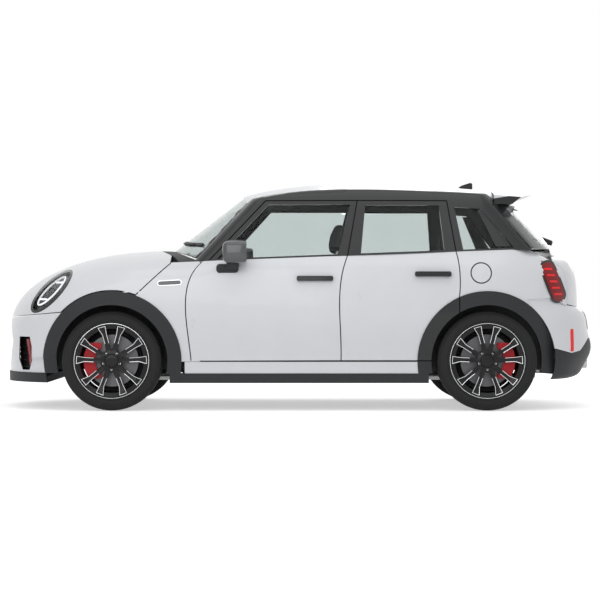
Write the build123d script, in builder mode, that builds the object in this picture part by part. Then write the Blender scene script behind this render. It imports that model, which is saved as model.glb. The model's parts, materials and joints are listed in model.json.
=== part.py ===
from build123d import *
from math import cos, hypot, radians, sin
import os

os.makedirs("parts", exist_ok=True)

# Five-door hot hatchback, mm. Ground at Z = 0, nose towards -X, left side towards -Y.

# Wheels and axles
FRONT_AXLE_X = -1241.0
REAR_AXLE_X = 1234.0
WHEEL_R = 329.0
WHEEL_Y = 737.0
RIM_R = 248.0
RIM_SEAT_R = 226.0
ARCH_R = 368.0
CLAD_R = 460.0

# Lower body form
HALF_W = 860.0
SILL_Z = 190.0
NOSE_X = -2002.0
HOOD_X = -915.0
HOOD_BASE_Z = 540.0
HOOD_TOP_Z = 1068.0
TAIL_X = 1905.0
TAIL_TURN_X = 1730.0
TAIL_BASE_Z = 760.0
BELT_RISE = 0.0377
SHUT_GAP = 7.0
SKIN = 22.0
DOOR_T = 60.0
CLAD_OUT = 8.0

# Cabin form
CABIN_T = 44.0
GLASS_IN = 7.0
GLASS_T = 5.0
DOOR_TOP_Z = 1391.0


def ease(low, high, x):
    """Smooth step from 0 at low to 1 at high."""
    t = min(1.0, max(0.0, (x - low) / (high - low)))
    return t * t * (3.0 - 2.0 * t)


def belt(x):
    """Height of the waist line along the car."""
    return 987.0 + BELT_RISE * (x + 638.0)


def half_width(x, inset):
    """Half width of the lower body at its widest height."""
    w = HALF_W - inset
    if x < -1250.0:
        t = (-1250.0 - x) / (-1250.0 - NOSE_X - inset + 2.0)
        return w * (1.0 - t ** 2.5) ** 0.4
    if x > 1150.0:
        t = (x - 1150.0) / (TAIL_X - inset + 8.0 - 1150.0)
        return w * (1.0 - t ** 2.7) ** (1.0 / 2.7)
    return w


def top_line(x, inset):
    """Height of the bonnet and tail on the centre line."""
    if x < HOOD_X:
        t = (HOOD_X - x) / (HOOD_X - NOSE_X - inset + 2.0)
        rise = HOOD_TOP_Z - HOOD_BASE_Z - inset
        return HOOD_BASE_Z + rise * (1.0 - t ** 2.1) ** (1.0 / 2.1)
    if x > TAIL_TURN_X:
        t = (x - TAIL_TURN_X) / (TAIL_X - TAIL_TURN_X - inset + 2.0)
        rise = HOOD_TOP_Z - TAIL_BASE_Z - inset
        return TAIL_BASE_Z + rise * (1.0 - t ** 2.5) ** 0.4
    return HOOD_TOP_Z - inset


def body_section(x, inset):
    """Cross section of the lower body: tucked sill, side, shoulder, crowned top."""
    crown = top_line(x, inset)
    low = SILL_Z + inset
    widest = low + (0.45 + 0.27 * ease(-1750.0, -1000.0, x)) * (crown - low)
    high = crown + 140.0 * ease(-720.0, -430.0, x) * (1.0 - ease(1400.0, 1700.0, x))
    w = half_width(x, inset)
    tuck = 55.0 * min(1.0, w / 600.0)
    side = [(w - tuck, low), (w - 0.28 * tuck, low + 0.47 * (widest - low)), (w, widest)]
    for angle in (15, 30, 45, 60, 75):
        across = cos(radians(angle)) ** 0.8
        up = sin(radians(angle)) ** 0.8
        side.append((w * across, widest + (high - widest) * up))
    return side + [(0.0, high)] + [(-y, z) for y, z in reversed(side)]


def spacing(points):
    """Share of the outline's length reached at each of its points."""
    reach = [0.0]
    for first, second in zip(points, points[1:]):
        reach.append(reach[-1] + hypot(second[0] - first[0], second[1] - first[1]))
    return [step / reach[-1] for step in reach]


def section_spline(points, shares):
    """A spline whose knots lie alike on every section of one form."""
    add(Edge.make_spline([Vector(*point) for point in points], parameters=shares))


BODY_SHARES = spacing(body_section(-900.0, 0.0))


def cross_plane(x):
    """Plane across the car at x; its axes are Y and Z."""
    return Plane(origin=(x, 0, 0), x_dir=(0, 1, 0), z_dir=(1, 0, 0))


def lower_body(inset):
    """The closed form below the windows, taken in by inset all round."""
    nose = [HOOD_X - (HOOD_X - NOSE_X - inset) * sin(radians(a))
            for a in (88, 80, 71, 62, 53, 44, 35, 26, 17, 8)]
    middle = [HOOD_X + (TAIL_TURN_X - HOOD_X) * i / 16 for i in range(17)]
    tail = [TAIL_TURN_X + (TAIL_X - TAIL_TURN_X - inset) * sin(radians(a)) ** 0.8
            for a in (22, 42, 60, 74, 85)]
    with BuildPart() as form:
        for x in nose + middle + tail:
            points = body_section(x, inset)
            with BuildSketch(cross_plane(x)):
                with BuildLine():
                    section_spline(points, BODY_SHARES)
                    Line(points[-1], points[0])
                make_face()
        loft()
    return form.part


def roof_line(x):
    """Height of the roof on the centre line, highest above the front seats."""
    if x < -350.0:
        return 1458.0 + 0.3 * (x + 350.0)
    if x < 434.0:
        return 1535.0 - 77.0 * ((434.0 - x) / 784.0) ** 2.6
    return 1535.0 - 36.0 * ((x - 434.0) / 784.0) ** 1.6


def roof_dome(inset):
    """A block under the crowned roof line, lowered by inset."""
    with BuildPart() as dome:
        for x in range(-1000, 1901, 145):
            crown = roof_line(x) - inset
            with BuildSketch(cross_plane(x)):
                with BuildLine():
                    ThreePointArc((-900, crown - 155), (0, crown), (900, crown - 155))
                    Polyline((900, crown - 155), (900, 700), (-900, 700), (-900, crown - 155))
                make_face()
        loft()
    return dome.part


def cabin(inset):
    """The closed form of the greenhouse and roof, taken in by inset all round."""
    with BuildPart() as form:
        for z in range(940, 1546, 55):
            side = 800.0 - 0.40 * (z - 1005.0) - inset
            if z > DOOR_TOP_Z:
                side = 646.0 - 0.62 * (z - 1390.0) - 0.0022 * (z - 1390.0) ** 2 - inset
            front = -854.0 + 1.294 * (z - 1087.0) + 1.3 * inset
            post = -606.0 + 0.876 * (z - 1051.0) + inset
            rear = 1727.0 - 0.905 * (z - 1127.0) - 1.3 * inset
            rear_post = 1530.0 - 0.82 * (z - 1079.0) - inset
            with BuildSketch(Plane.XY.offset(z)) as plan:
                with BuildLine():
                    ThreePointArc((post, 45.0 - side), (front, 0), (post, side - 45.0))
                    ThreePointArc((post, side - 45.0), (300, side), (rear_post, side - 70.0))
                    ThreePointArc((rear_post, side - 70.0), (rear, 0), (rear_post, 70.0 - side))
                    ThreePointArc((rear_post, 70.0 - side), (300, -side), (post, 45.0 - side))
                make_face()
                fillet(plan.vertices().group_by(Axis.X)[0], 90)
                fillet(plan.vertices().group_by(Axis.X)[-1], 120)
        loft()
    return form.part & roof_dome(inset)


def side_block(segments, grow=0.0, near=-1150.0, far=0.0):
    """A block with a side-view outline in X and Z, reaching from near to far across the car."""
    plane = Plane(origin=(0, near, 0), x_dir=(1, 0, 0), z_dir=(0, -1, 0))
    with BuildPart() as block:
        with BuildSketch(plane) as outline:
            with BuildLine():
                for points in segments:
                    if len(points) == 2:
                        Line(*points)
                    else:
                        Spline(*points)
            make_face()
            if grow:
                offset(amount=grow)
        extrude(amount=near - far)
    return block.part


def polygon_block(points, grow=0.0, near=-1150.0, far=0.0):
    """A block whose side-view outline is a plain polygon."""
    closed = list(points) + [points[0]]
    return side_block([(closed[i], closed[i + 1]) for i in range(len(points))], grow, near, far)


def wheel_disc(axle_x, radius, near=-1150.0, far=0.0):
    """A round block on a wheel's axis."""
    with BuildPart() as disc:
        with Locations(Location((axle_x, near, WHEEL_R), (-90, 0, 0))):
            Cylinder(radius, far - near, align=(Align.CENTER, Align.CENTER, Align.MIN))
    return disc.part


def box_between(x, y, z):
    """A box from three pairs of limits."""
    with BuildPart() as block:
        with Locations(((x[0] + x[1]) / 2, (y[0] + y[1]) / 2, (z[0] + z[1]) / 2)):
            Box(x[1] - x[0], y[1] - y[0], z[1] - z[0])
    return block.part


# Shared forms
BODY_OUT = lower_body(0.0)
BODY_SKIN = lower_body(SKIN)
BODY_DOOR = lower_body(DOOR_T)
CABIN_OUT = cabin(0.0)
CABIN_IN = cabin(CABIN_T)
GLASS_OUT = cabin(GLASS_IN)
GLASS_IN_FORM = cabin(GLASS_IN + GLASS_T)

# Outlines in side view
FRONT_SHUT = ((-640, belt(-640)), (-734, 830), (-747, 629), (-728, 452), (-715, 330))
B_SHUT = ((267, 333), (258, 629), (270, 881), (311, belt(311)))
REAR_SHUT = ((1045, 754), (1047, 931), (1030, belt(1030)))
FRONT_DOOR = (FRONT_SHUT, (FRONT_SHUT[-1], B_SHUT[0]), B_SHUT, (B_SHUT[-1], FRONT_SHUT[0]))
C_SHUT = tuple((x + SHUT_GAP, z) for x, z in B_SHUT)
REAR_DOOR = (tuple(reversed(C_SHUT)), (C_SHUT[0], (1045, 333)), ((1045, 333), REAR_SHUT[0]), REAR_SHUT,
             (REAR_SHUT[-1], C_SHUT[-1]))
FRONT_FRAME = ((-600, belt(-600)), (-229, DOOR_TOP_Z), (378, DOOR_TOP_Z), (311, belt(311)))
REAR_FRAME = ((318, belt(318)), (385, DOOR_TOP_Z), (978, DOOR_TOP_Z), (1030, belt(1030)))
FRONT_LIGHT = ((-548, belt(-548) + 12), (-210, 1366), (334, 1366), (252, belt(252) + 12))
REAR_LIGHT = ((403, belt(403) + 12), (435, 1362), (928, 1362), (956, belt(956) + 12))
QUARTER_LIGHT = ((1082, belt(1082) + 12), (1030, 1350), (1212, 1340), (1420, belt(1420) + 14))
BONNET_ZONE = ((-2100, 606), (-1559, 654), (-1150, 654), (-1130, 722), (-862, 974), (-862, 1300),
               (-2100, 1300))
SCREEN_ZONE = ((-646, 1049), (-354, 1378), (-398, 1452), (-700, 1450), (-1200, 1150), (-1200, 960),
               (-725, 960))
BELOW_BELT = ((-2200, belt(-2200)), (2200, belt(2200)), (2200, 100), (-2200, 100))
LAMP_ZONE = ((1605, 994), (1693, 969), (1762, 805), (1750, 717), (1693, 730), (1624, 881))
BUMPER_LINE = ((1500, 734), (1690, 748), (1760, 700), (2100, 640), (2100, 100), (1500, 100))

FRONT_DISC = wheel_disc(FRONT_AXLE_X, ARCH_R)
REAR_DISC = wheel_disc(REAR_AXLE_X, ARCH_R)
FRONT_CLAD_DISC = wheel_disc(FRONT_AXLE_X, CLAD_R)
REAR_CLAD_DISC = wheel_disc(REAR_AXLE_X, CLAD_R)
FRONT_DOOR_BLOCK = side_block(FRONT_DOOR)
REAR_DOOR_BLOCK = side_block(REAR_DOOR)
LOWER_BLOCK = polygon_block(BELOW_BELT)
LOWER_BOTH = polygon_block(BELOW_BELT, far=1150.0)
CLAD_BODY = lower_body(-CLAD_OUT)
CLAD_INNER = lower_body(34.0)
FRONT_RING = FRONT_CLAD_DISC - FRONT_DISC
REAR_RING = REAR_CLAD_DISC - REAR_DISC
FRONT_CUT_EDGE = tuple((x - SHUT_GAP, z) for x, z in FRONT_SHUT)
FRONT_CUT_TOP = (FRONT_CUT_EDGE[0][0], 1150)
FRONT_DOOR_CUT = side_block((FRONT_CUT_EDGE, (FRONT_CUT_EDGE[-1], (300, 323)), ((300, 323), (300, 1150)),
                             ((300, 1150), FRONT_CUT_TOP), (FRONT_CUT_TOP, FRONT_CUT_EDGE[0])))
REAR_CUT_EDGE = tuple((x + SHUT_GAP, z) for x, z in REAR_SHUT)
REAR_CUT_TOP = (REAR_CUT_EDGE[-1][0], 1150)
REAR_CUT_FOOT = (REAR_CUT_EDGE[0][0], 326)
REAR_DOOR_CUT = side_block((REAR_CUT_EDGE, (REAR_CUT_EDGE[-1], REAR_CUT_TOP), (REAR_CUT_TOP, (300, 1150)),
                            ((300, 1150), (300, 326)), ((300, 326), REAR_CUT_FOOT),
                            (REAR_CUT_FOOT, REAR_CUT_EDGE[0])))
BUMPER_BLOCK = polygon_block(BUMPER_LINE, far=1150.0)


def plan_block(segments, low, high):
    """A block with a plan outline in X and Y between two heights."""
    with BuildPart() as block:
        with BuildSketch(Plane.XY.offset(low)):
            with BuildLine():
                for points in segments:
                    if len(points) == 2:
                        Line(*points)
                    else:
                        Spline(*points)
            make_face()
        extrude(amount=high - low)
    return block.part


def end_block(points, x_from, x_to):
    """A block with an outline seen from the end of the car, in Y and Z."""
    with BuildPart() as block:
        with BuildSketch(cross_plane(x_from)):
            with BuildLine():
                Polyline(*points, close=True)
            make_face()
        extrude(amount=x_to - x_from)
    return block.part


def lamp_block(long_axis, short_axis):
    """Oval of the left headlamp as it shows from the side."""
    plane = Plane(origin=(0, -330, 0), x_dir=(1, 0, 0), z_dir=(0, -1, 0))
    with BuildPart() as block:
        with BuildSketch(plane):
            with Locations(Location((-1662, 790), 47)):
                Ellipse(long_axis / 2, short_axis / 2)
        extrude(amount=800)
    return block.part


LAMP_HOLE = lamp_block(376, 150)
LAMP_HOLE_RIGHT = mirror(LAMP_HOLE, about=Plane.XZ)
LAMP_GLASS = lamp_block(336, 112)
COWL_ARC = ((-780, -900), (-800, -760), (-912, -420), (-962, 0), (-912, 420), (-800, 760), (-780, 900))
BONNET_PLAN = plan_block((COWL_ARC, (COWL_ARC[-1], (-2200, 900)), ((-2200, 900), (-2200, -900)),
                          ((-2200, -900), COWL_ARC[0])), 500.0, 1300.0)
COWL_LINE = tuple((x + SHUT_GAP, y) for x, y in COWL_ARC)
COWL_PLAN = plan_block((COWL_LINE, (COWL_LINE[-1], (-500, 900)), ((-500, 900), (-500, -900)),
                        ((-500, -900), COWL_LINE[0])), 500.0, 1300.0)

# Bonnet with its lamps
with BuildPart() as bonnet:
    add(BODY_OUT)
    add(polygon_block(BONNET_ZONE, far=1150.0), mode=Mode.INTERSECT)
    add(BONNET_PLAN, mode=Mode.INTERSECT)
    add(BODY_SKIN, mode=Mode.SUBTRACT)
    add(wheel_disc(FRONT_AXLE_X, CLAD_R + 7.0, far=1150.0), mode=Mode.SUBTRACT)
    add(LAMP_HOLE, mode=Mode.SUBTRACT)
    add(LAMP_HOLE_RIGHT, mode=Mode.SUBTRACT)
bonnet.part.label = "bonnet"
export_step(bonnet.part, "parts/bonnet.step")

with BuildPart() as headlamp_bezels:
    add((BODY_OUT & LAMP_HOLE) - CLAD_INNER - (LAMP_GLASS - BODY_SKIN))
    mirror(about=Plane.XZ)
headlamp_bezels.part.label = "headlamp_bezels"
export_step(headlamp_bezels.part, "parts/headlamp_bezels.step")

with BuildPart() as headlamp_lenses:
    add((BODY_OUT & LAMP_GLASS) - lower_body(7.0))
    mirror(about=Plane.XZ)
headlamp_lenses.part.label = "headlamp_lenses"
export_step(headlamp_lenses.part, "parts/headlamp_lenses.step")

# Front bumper, grille and lip
GRILLE = ((-300, 580), (300, 580), (440, 455), (350, 305), (-350, 305), (-440, 455))
DUCT = ((-1882, 486), (-1800, 486), (-1785, 420), (-1785, 330), (-1810, 262), (-1865, 262), (-1886, 330))
BUMPER_FRONT = ((-2100, 599), (-1559, 647), (-1540, 500), (-1540, 247), (-2100, 247))
with BuildPart() as front_bumper:
    add(BODY_OUT)
    add(polygon_block(BUMPER_FRONT, far=1150.0), mode=Mode.INTERSECT)
    add(BODY_SKIN, mode=Mode.SUBTRACT)
    add(wheel_disc(FRONT_AXLE_X, CLAD_R, far=1150.0), mode=Mode.SUBTRACT)
    add(end_block(GRILLE, -2100.0, -1700.0), mode=Mode.SUBTRACT)
    add(polygon_block(DUCT, far=1150.0), mode=Mode.SUBTRACT)
front_bumper.part.label = "front_bumper"
export_step(front_bumper.part, "parts/front_bumper.step")

GRILLE_BACK = ((-312, 592), (312, 592), (456, 456), (362, 293), (-362, 293), (-456, 456))
with BuildPart() as front_grille:
    add((BODY_SKIN & end_block(GRILLE_BACK, -2100.0, -1700.0)) - CLAD_INNER)
    with Locations(*[(-1900, 0, 330.0 + 34.0 * i) for i in range(8)]):
        Box(400, 600, 20, mode=Mode.SUBTRACT)
front_grille.part.label = "front_grille"
export_step(front_grille.part, "parts/front_grille.step")

with BuildPart() as front_lip:
    add((CLAD_BODY & box_between((-2100, -1560), (-900, 900), (150, 246))) - CLAD_INNER)
    add(wheel_disc(FRONT_AXLE_X, CLAD_R, far=1150.0), mode=Mode.SUBTRACT)
front_lip.part.label = "front_lip"
export_step(front_lip.part, "parts/front_lip.step")

# Front wings and cowl
WING_BLOCK = ((LOWER_BLOCK & box_between((-1250, -660), (-950, -500), (324, 1100)))
              - polygon_block(BONNET_ZONE, grow=SHUT_GAP) - FRONT_DOOR_CUT - FRONT_CLAD_DISC)
LEFT_WING = (BODY_OUT & WING_BLOCK) - BODY_SKIN
with BuildPart() as front_wings:
    add(LEFT_WING)
    mirror(LEFT_WING, about=Plane.XZ)
front_wings.part.label = "front_wings"
export_step(front_wings.part, "parts/front_wings.step")

with BuildPart() as cowl_panel:
    add(BODY_OUT)
    add(COWL_PLAN, mode=Mode.INTERSECT)
    add(LOWER_BOTH, mode=Mode.SUBTRACT)
    add(box_between((-1100, -600), (-735, 735), (900, 1200)), mode=Mode.INTERSECT)
    add(BODY_SKIN, mode=Mode.SUBTRACT)
    add(CABIN_OUT, mode=Mode.SUBTRACT)
cowl_panel.part.label = "cowl_panel"
export_step(cowl_panel.part, "parts/cowl_panel.step")

# Doors
with BuildPart() as front_door_left:
    add(BODY_OUT)
    add(FRONT_DOOR_BLOCK, mode=Mode.INTERSECT)
    add(BODY_DOOR, mode=Mode.SUBTRACT)
    add(box_between((-800, -540), (-716, -400), (905, 1060)), mode=Mode.SUBTRACT)
front_door_left.part.label = "front_door_left"
export_step(front_door_left.part, "parts/front_door_left.step")

with BuildPart() as front_door_right:
    mirror(front_door_left.part, about=Plane.XZ)
front_door_right.part.label = "front_door_right"
export_step(front_door_right.part, "parts/front_door_right.step")

with BuildPart() as rear_door_left:
    add(BODY_OUT)
    add(REAR_DOOR_BLOCK, mode=Mode.INTERSECT)
    add(BODY_DOOR, mode=Mode.SUBTRACT)
    add(REAR_CLAD_DISC, mode=Mode.SUBTRACT)
rear_door_left.part.label = "rear_door_left"
export_step(rear_door_left.part, "parts/rear_door_left.step")

with BuildPart() as rear_door_right:
    mirror(rear_door_left.part, about=Plane.XZ)
rear_door_right.part.label = "rear_door_right"
export_step(rear_door_right.part, "parts/rear_door_right.step")


def handle(x, z, skin_y):
    """A pull handle standing off the door skin on two feet."""
    with BuildPart() as grip:
        with Locations((x, -skin_y - 24.0, z)):
            Box(240, 16, 34)
        fillet(grip.edges().filter_by(Axis.Y), 12)
        with Locations((x - 95.0, -skin_y - 8.0, z), (x + 95.0, -skin_y - 8.0, z)):
            Box(34, 40, 26)
    return grip.part


with BuildPart() as front_trim_left:
    add((CABIN_OUT & polygon_block(FRONT_FRAME)) - CABIN_IN)
    add(polygon_block(FRONT_LIGHT), mode=Mode.SUBTRACT)
    add(handle(98.0, 872.0, 854.0) - BODY_OUT)
    with Locations((-478, -838, 938)):
        Box(150, 60, 64)
    with Locations((-440, -900, 985)):
        Box(90, 90, 60)
    with Locations((-416, -935, 1045)):
        Box(160, 190, 150)
    fillet(front_trim_left.edges().filter_by(GeomType.LINE).group_by(Axis.Y)[0], 30)
    add(front_door_left.part, mode=Mode.SUBTRACT)
front_trim_left.part.label = "front_trim_left"
export_step(front_trim_left.part, "parts/front_trim_left.step")

with BuildPart() as front_trim_right:
    mirror(front_trim_left.part, about=Plane.XZ)
front_trim_right.part.label = "front_trim_right"
export_step(front_trim_right.part, "parts/front_trim_right.step")

with BuildPart() as rear_trim_left:
    add((CABIN_OUT & polygon_block(REAR_FRAME)) - CABIN_IN)
    add(polygon_block(REAR_LIGHT), mode=Mode.SUBTRACT)
    add(handle(874.0, 901.0, 854.0) - BODY_OUT)
    add((CLAD_BODY & REAR_DOOR_BLOCK & REAR_RING) - CLAD_INNER)
    add(rear_door_left.part, mode=Mode.SUBTRACT)
rear_trim_left.part.label = "rear_trim_left"
export_step(rear_trim_left.part, "parts/rear_trim_left.step")

with BuildPart() as rear_trim_right:
    mirror(rear_trim_left.part, about=Plane.XZ)
rear_trim_right.part.label = "rear_trim_right"
export_step(rear_trim_right.part, "parts/rear_trim_right.step")

with BuildPart() as front_glass_left:
    add(GLASS_OUT)
    add(polygon_block(FRONT_LIGHT), mode=Mode.INTERSECT)
    add(GLASS_IN_FORM, mode=Mode.SUBTRACT)
front_glass_left.part.label = "front_glass_left"
export_step(front_glass_left.part, "parts/front_glass_left.step")

with BuildPart() as front_glass_right:
    mirror(front_glass_left.part, about=Plane.XZ)
front_glass_right.part.label = "front_glass_right"
export_step(front_glass_right.part, "parts/front_glass_right.step")

with BuildPart() as rear_glass_left:
    add(GLASS_OUT)
    add(polygon_block(REAR_LIGHT), mode=Mode.INTERSECT)
    add(GLASS_IN_FORM, mode=Mode.SUBTRACT)
rear_glass_left.part.label = "rear_glass_left"
export_step(rear_glass_left.part, "parts/rear_glass_left.step")

with BuildPart() as rear_glass_right:
    mirror(rear_glass_left.part, about=Plane.XZ)
rear_glass_right.part.label = "rear_glass_right"
export_step(rear_glass_right.part, "parts/rear_glass_right.step")

# Roof, pillars and fixed glass
ROOF_PLAN = plan_block((((-420, -520), (450, -556), (1300, -500)), ((1300, -500), (1300, 500)),
                        ((1300, 500), (450, 556), (-420, 520)), ((-420, 520), (-420, -520))), 1300.0, 1700.0)
SCREEN_BLOCK = polygon_block(SCREEN_ZONE, far=1150.0)
UPPER_CUT = polygon_block(FRONT_FRAME, grow=SHUT_GAP) + polygon_block(REAR_FRAME, grow=SHUT_GAP)
HATCH_UPPER = ((1297, 1376), (1543, belt(1543)), (2100, belt(2100)), (2100, 1376))
HATCH_BLOCK = polygon_block(HATCH_UPPER, far=1150.0)
HATCH_CUT = polygon_block(HATCH_UPPER, grow=SHUT_GAP, far=1150.0)
TAIL_CUT = box_between((1300, 2100), (-900, 900), (1376, 1700))
with BuildPart() as roof_panel:
    add(CABIN_OUT)
    add(ROOF_PLAN, mode=Mode.INTERSECT)
    add(CABIN_IN, mode=Mode.SUBTRACT)
    add(SCREEN_BLOCK + HATCH_CUT + polygon_block(FRONT_FRAME, grow=SHUT_GAP, far=1150.0), mode=Mode.SUBTRACT)
roof_panel.part.label = "roof_panel"
export_step(roof_panel.part, "parts/roof_panel.step")

with BuildPart() as pillar_frame:
    add(CABIN_OUT & box_between((-900, 1700), (-1000, -300), (900, 1600)))
    add(CABIN_IN, mode=Mode.SUBTRACT)
    add(LOWER_BLOCK, mode=Mode.SUBTRACT)
    add(ROOF_PLAN, mode=Mode.SUBTRACT)
    add(SCREEN_BLOCK, mode=Mode.SUBTRACT)
    add(UPPER_CUT, mode=Mode.SUBTRACT)
    add(polygon_block(QUARTER_LIGHT), mode=Mode.SUBTRACT)
    add(HATCH_CUT, mode=Mode.SUBTRACT)
    add(TAIL_CUT, mode=Mode.SUBTRACT)
    mirror(about=Plane.XZ)
pillar_frame.part.label = "pillar_frame"
export_step(pillar_frame.part, "parts/pillar_frame.step")

with BuildPart() as fixed_glass:
    add((GLASS_OUT & polygon_block(QUARTER_LIGHT)) - GLASS_IN_FORM)
    mirror(about=Plane.XZ)
    add((GLASS_OUT & SCREEN_BLOCK) - GLASS_IN_FORM - BODY_OUT)
fixed_glass.part.label = "fixed_glass"
export_step(fixed_glass.part, "parts/fixed_glass.step")

# Tailgate, its glass and spoiler
REAR_LIGHT_END = ((-560, belt(1700) + 30), (560, belt(1700) + 30), (470, 1352), (-470, 1352))
TAIL_OPENING = box_between((1690, 2100), (-600, 600), (660, 1140))
with BuildPart() as tailgate:
    add((CABIN_OUT & HATCH_BLOCK) - CABIN_IN)
    add((CABIN_OUT & box_between((1690, 1900), (-600, 600), (1030, 1100))) - CABIN_IN)
    add((BODY_OUT & (TAIL_OPENING - polygon_block(BUMPER_LINE, grow=SHUT_GAP, far=1150.0))) - BODY_DOOR)
    add(end_block(REAR_LIGHT_END, 1250.0, 2100.0), mode=Mode.SUBTRACT)
tailgate.part.label = "tailgate"
export_step(tailgate.part, "parts/tailgate.step")

with BuildPart() as hatch_glass:
    add(GLASS_OUT)
    add(HATCH_BLOCK, mode=Mode.INTERSECT)
    add(end_block(REAR_LIGHT_END, 1450.0, 2100.0), mode=Mode.INTERSECT)
    add(GLASS_IN_FORM, mode=Mode.SUBTRACT)
hatch_glass.part.label = "hatch_glass"
export_step(hatch_glass.part, "parts/hatch_glass.step")

SPOILER = ((1307, 1377), (1307, 1600), (1593, 1600), (1593, 1452), (1490, 1424), (1430, 1377))
with BuildPart() as roof_spoiler:
    add(roof_dome(0.0))
    add(polygon_block(SPOILER, near=-530.0, far=530.0), mode=Mode.INTERSECT)
    add(CABIN_IN, mode=Mode.SUBTRACT)
roof_spoiler.part.label = "roof_spoiler"
export_step(roof_spoiler.part, "parts/roof_spoiler.step")

# Rear quarters, lamps and bumper
FLAP_R = 63.0
QUARTER_BLOCK = ((LOWER_BLOCK & box_between((1000, 1900), (-950, -607), (324, 1150)))
                 - REAR_DOOR_CUT - REAR_CLAD_DISC - BUMPER_BLOCK - polygon_block(LAMP_ZONE))
LEFT_QUARTER = (BODY_OUT & QUARTER_BLOCK) - BODY_DOOR
with BuildPart() as quarter_panels:
    add(LEFT_QUARTER)
    with Locations(Location((1192, -850, 908), (-90, 0, 0))):
        Cylinder(FLAP_R + 8.0, 300, mode=Mode.SUBTRACT)
    mirror(LEFT_QUARTER, about=Plane.XZ)
quarter_panels.part.label = "quarter_panels"
export_step(quarter_panels.part, "parts/quarter_panels.step")

with BuildPart() as tail_lamps:
    add(BODY_OUT)
    add(polygon_block(LAMP_ZONE), mode=Mode.INTERSECT)
    add(box_between((1500, 2000), (-950, -607), (600, 1100)), mode=Mode.INTERSECT)
    add(BODY_DOOR, mode=Mode.SUBTRACT)
    mirror(about=Plane.XZ)
tail_lamps.part.label = "tail_lamps"
export_step(tail_lamps.part, "parts/tail_lamps.step")


def bumper_form(inset):
    """The closed form of the rear bumper, taken in by inset."""
    with BuildPart() as form:
        for z, tail, w in ((200, 1860, 800), (268, 1953, 830), (340, 1992, 846), (429, 2010, 856),
                           (520, 1988, 861), (611, 1972, 862), (660, 1946, 861), (760, 1914, 860)):
            points = []
            for angle in (0, 15, 30, 45, 60, 75, 90, 105, 120, 135, 150, 165, 180):
                reach = sin(radians(angle)) ** (2 / 2.7)
                out = abs(cos(radians(angle))) ** (2 / 2.7)
                side = out if angle < 90 else -out
                points.append((1150 + (tail - inset - 1150) * reach, (w - inset) * side))
            with BuildSketch(Plane.XY.offset(z)):
                with BuildLine():
                    section_spline(points, [i / 12 for i in range(13)])
                    Line(points[-1], points[0])
                make_face()
        loft()
    return form.part


DIFFUSER_ZONE = ((1480, 408), (1698, 408), (1813, 377), (1880, 392), (1950, 470), (2100, 484), (2100, 100),
                 (1480, 100))
with BuildPart() as rear_bumper:
    add(bumper_form(0.0))
    add(BUMPER_BLOCK, mode=Mode.INTERSECT)
    add(bumper_form(30.0), mode=Mode.SUBTRACT)
    add(polygon_block(DIFFUSER_ZONE, far=1150.0), mode=Mode.SUBTRACT)
    add(wheel_disc(REAR_AXLE_X, CLAD_R, far=1150.0), mode=Mode.SUBTRACT)
    add(polygon_block(LAMP_ZONE, grow=2.0, far=1150.0), mode=Mode.SUBTRACT)
rear_bumper.part.label = "rear_bumper"
export_step(rear_bumper.part, "parts/rear_bumper.step")

with BuildPart() as rear_diffuser:
    add(bumper_form(0.0))
    add(polygon_block(DIFFUSER_ZONE, far=1150.0), mode=Mode.INTERSECT)
    add(bumper_form(30.0), mode=Mode.SUBTRACT)
    add(wheel_disc(REAR_AXLE_X, CLAD_R, far=1150.0), mode=Mode.SUBTRACT)
    with Locations(Location((1900, -60, 300), (0, 90, 0)), Location((1900, 60, 300), (0, 90, 0))):
        Cylinder(52, 400, mode=Mode.SUBTRACT)
rear_diffuser.part.label = "rear_diffuser"
export_step(rear_diffuser.part, "parts/rear_diffuser.step")

# Sills and arch cladding
with BuildPart() as sill_skirts:
    add(lower_body(-4.0))
    add(box_between((-760, 800), (-950, -690), (246, 322)), mode=Mode.INTERSECT)
    add(BODY_DOOR, mode=Mode.SUBTRACT)
    add(FRONT_CLAD_DISC, mode=Mode.SUBTRACT)
    add(REAR_CLAD_DISC, mode=Mode.SUBTRACT)
    mirror(about=Plane.XZ)
sill_skirts.part.label = "sill_skirts"
export_step(sill_skirts.part, "parts/sill_skirts.step")

with BuildPart() as arch_cladding:
    add((CLAD_BODY & FRONT_RING) - CLAD_INNER)
    add((CLAD_BODY & REAR_RING) - CLAD_INNER)
    add(box_between((-2000, 2000), (-950, -640), (246, 900)), mode=Mode.INTERSECT)
    add(REAR_DOOR_CUT, mode=Mode.SUBTRACT)
    add((CLAD_BODY & box_between((-860, 850), (-950, -640), (150, 246)))
        - CLAD_INNER - FRONT_DISC - REAR_DISC)
    mirror(about=Plane.XZ)
arch_cladding.part.label = "arch_cladding"
export_step(arch_cladding.part, "parts/arch_cladding.step")

# Body frame: floor, sills, posts with door apertures, firewall, boot floor, wheel houses and roof flanges
FRONT_APERTURE = ((-680, 380), (-696, 640), (-684, 800), (-590, 950), (258, 985), (220, 880), (208, 630),
                  (216, 380))
REAR_APERTURE = ((326, 380), (316, 630), (328, 880), (366, 990), (985, 1012), (1000, 930), (1000, 790),
                 (850, 620), (800, 380))
WELL_R = 400.0
FLOOR_Z = (250.0, 274.0)
SEAT_GAP = 0.3


def well_liner(axle_x, inner_y):
    """Half-round liner above a wheel, open below and around the axle."""
    with BuildPart() as shell:
        add(wheel_disc(axle_x, WELL_R, near=-812.0, far=inner_y))
        add(wheel_disc(axle_x, WELL_R - 8.0, near=-812.0, far=inner_y - 8.0), mode=Mode.SUBTRACT)
        add(box_between((axle_x - 500, axle_x + 500), (-1000, 0), (-100, 262)), mode=Mode.SUBTRACT)
        add(box_between((axle_x - 130, axle_x + 130), (inner_y - 20, 0), (-100, 480)), mode=Mode.SUBTRACT)
    return shell.part


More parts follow.
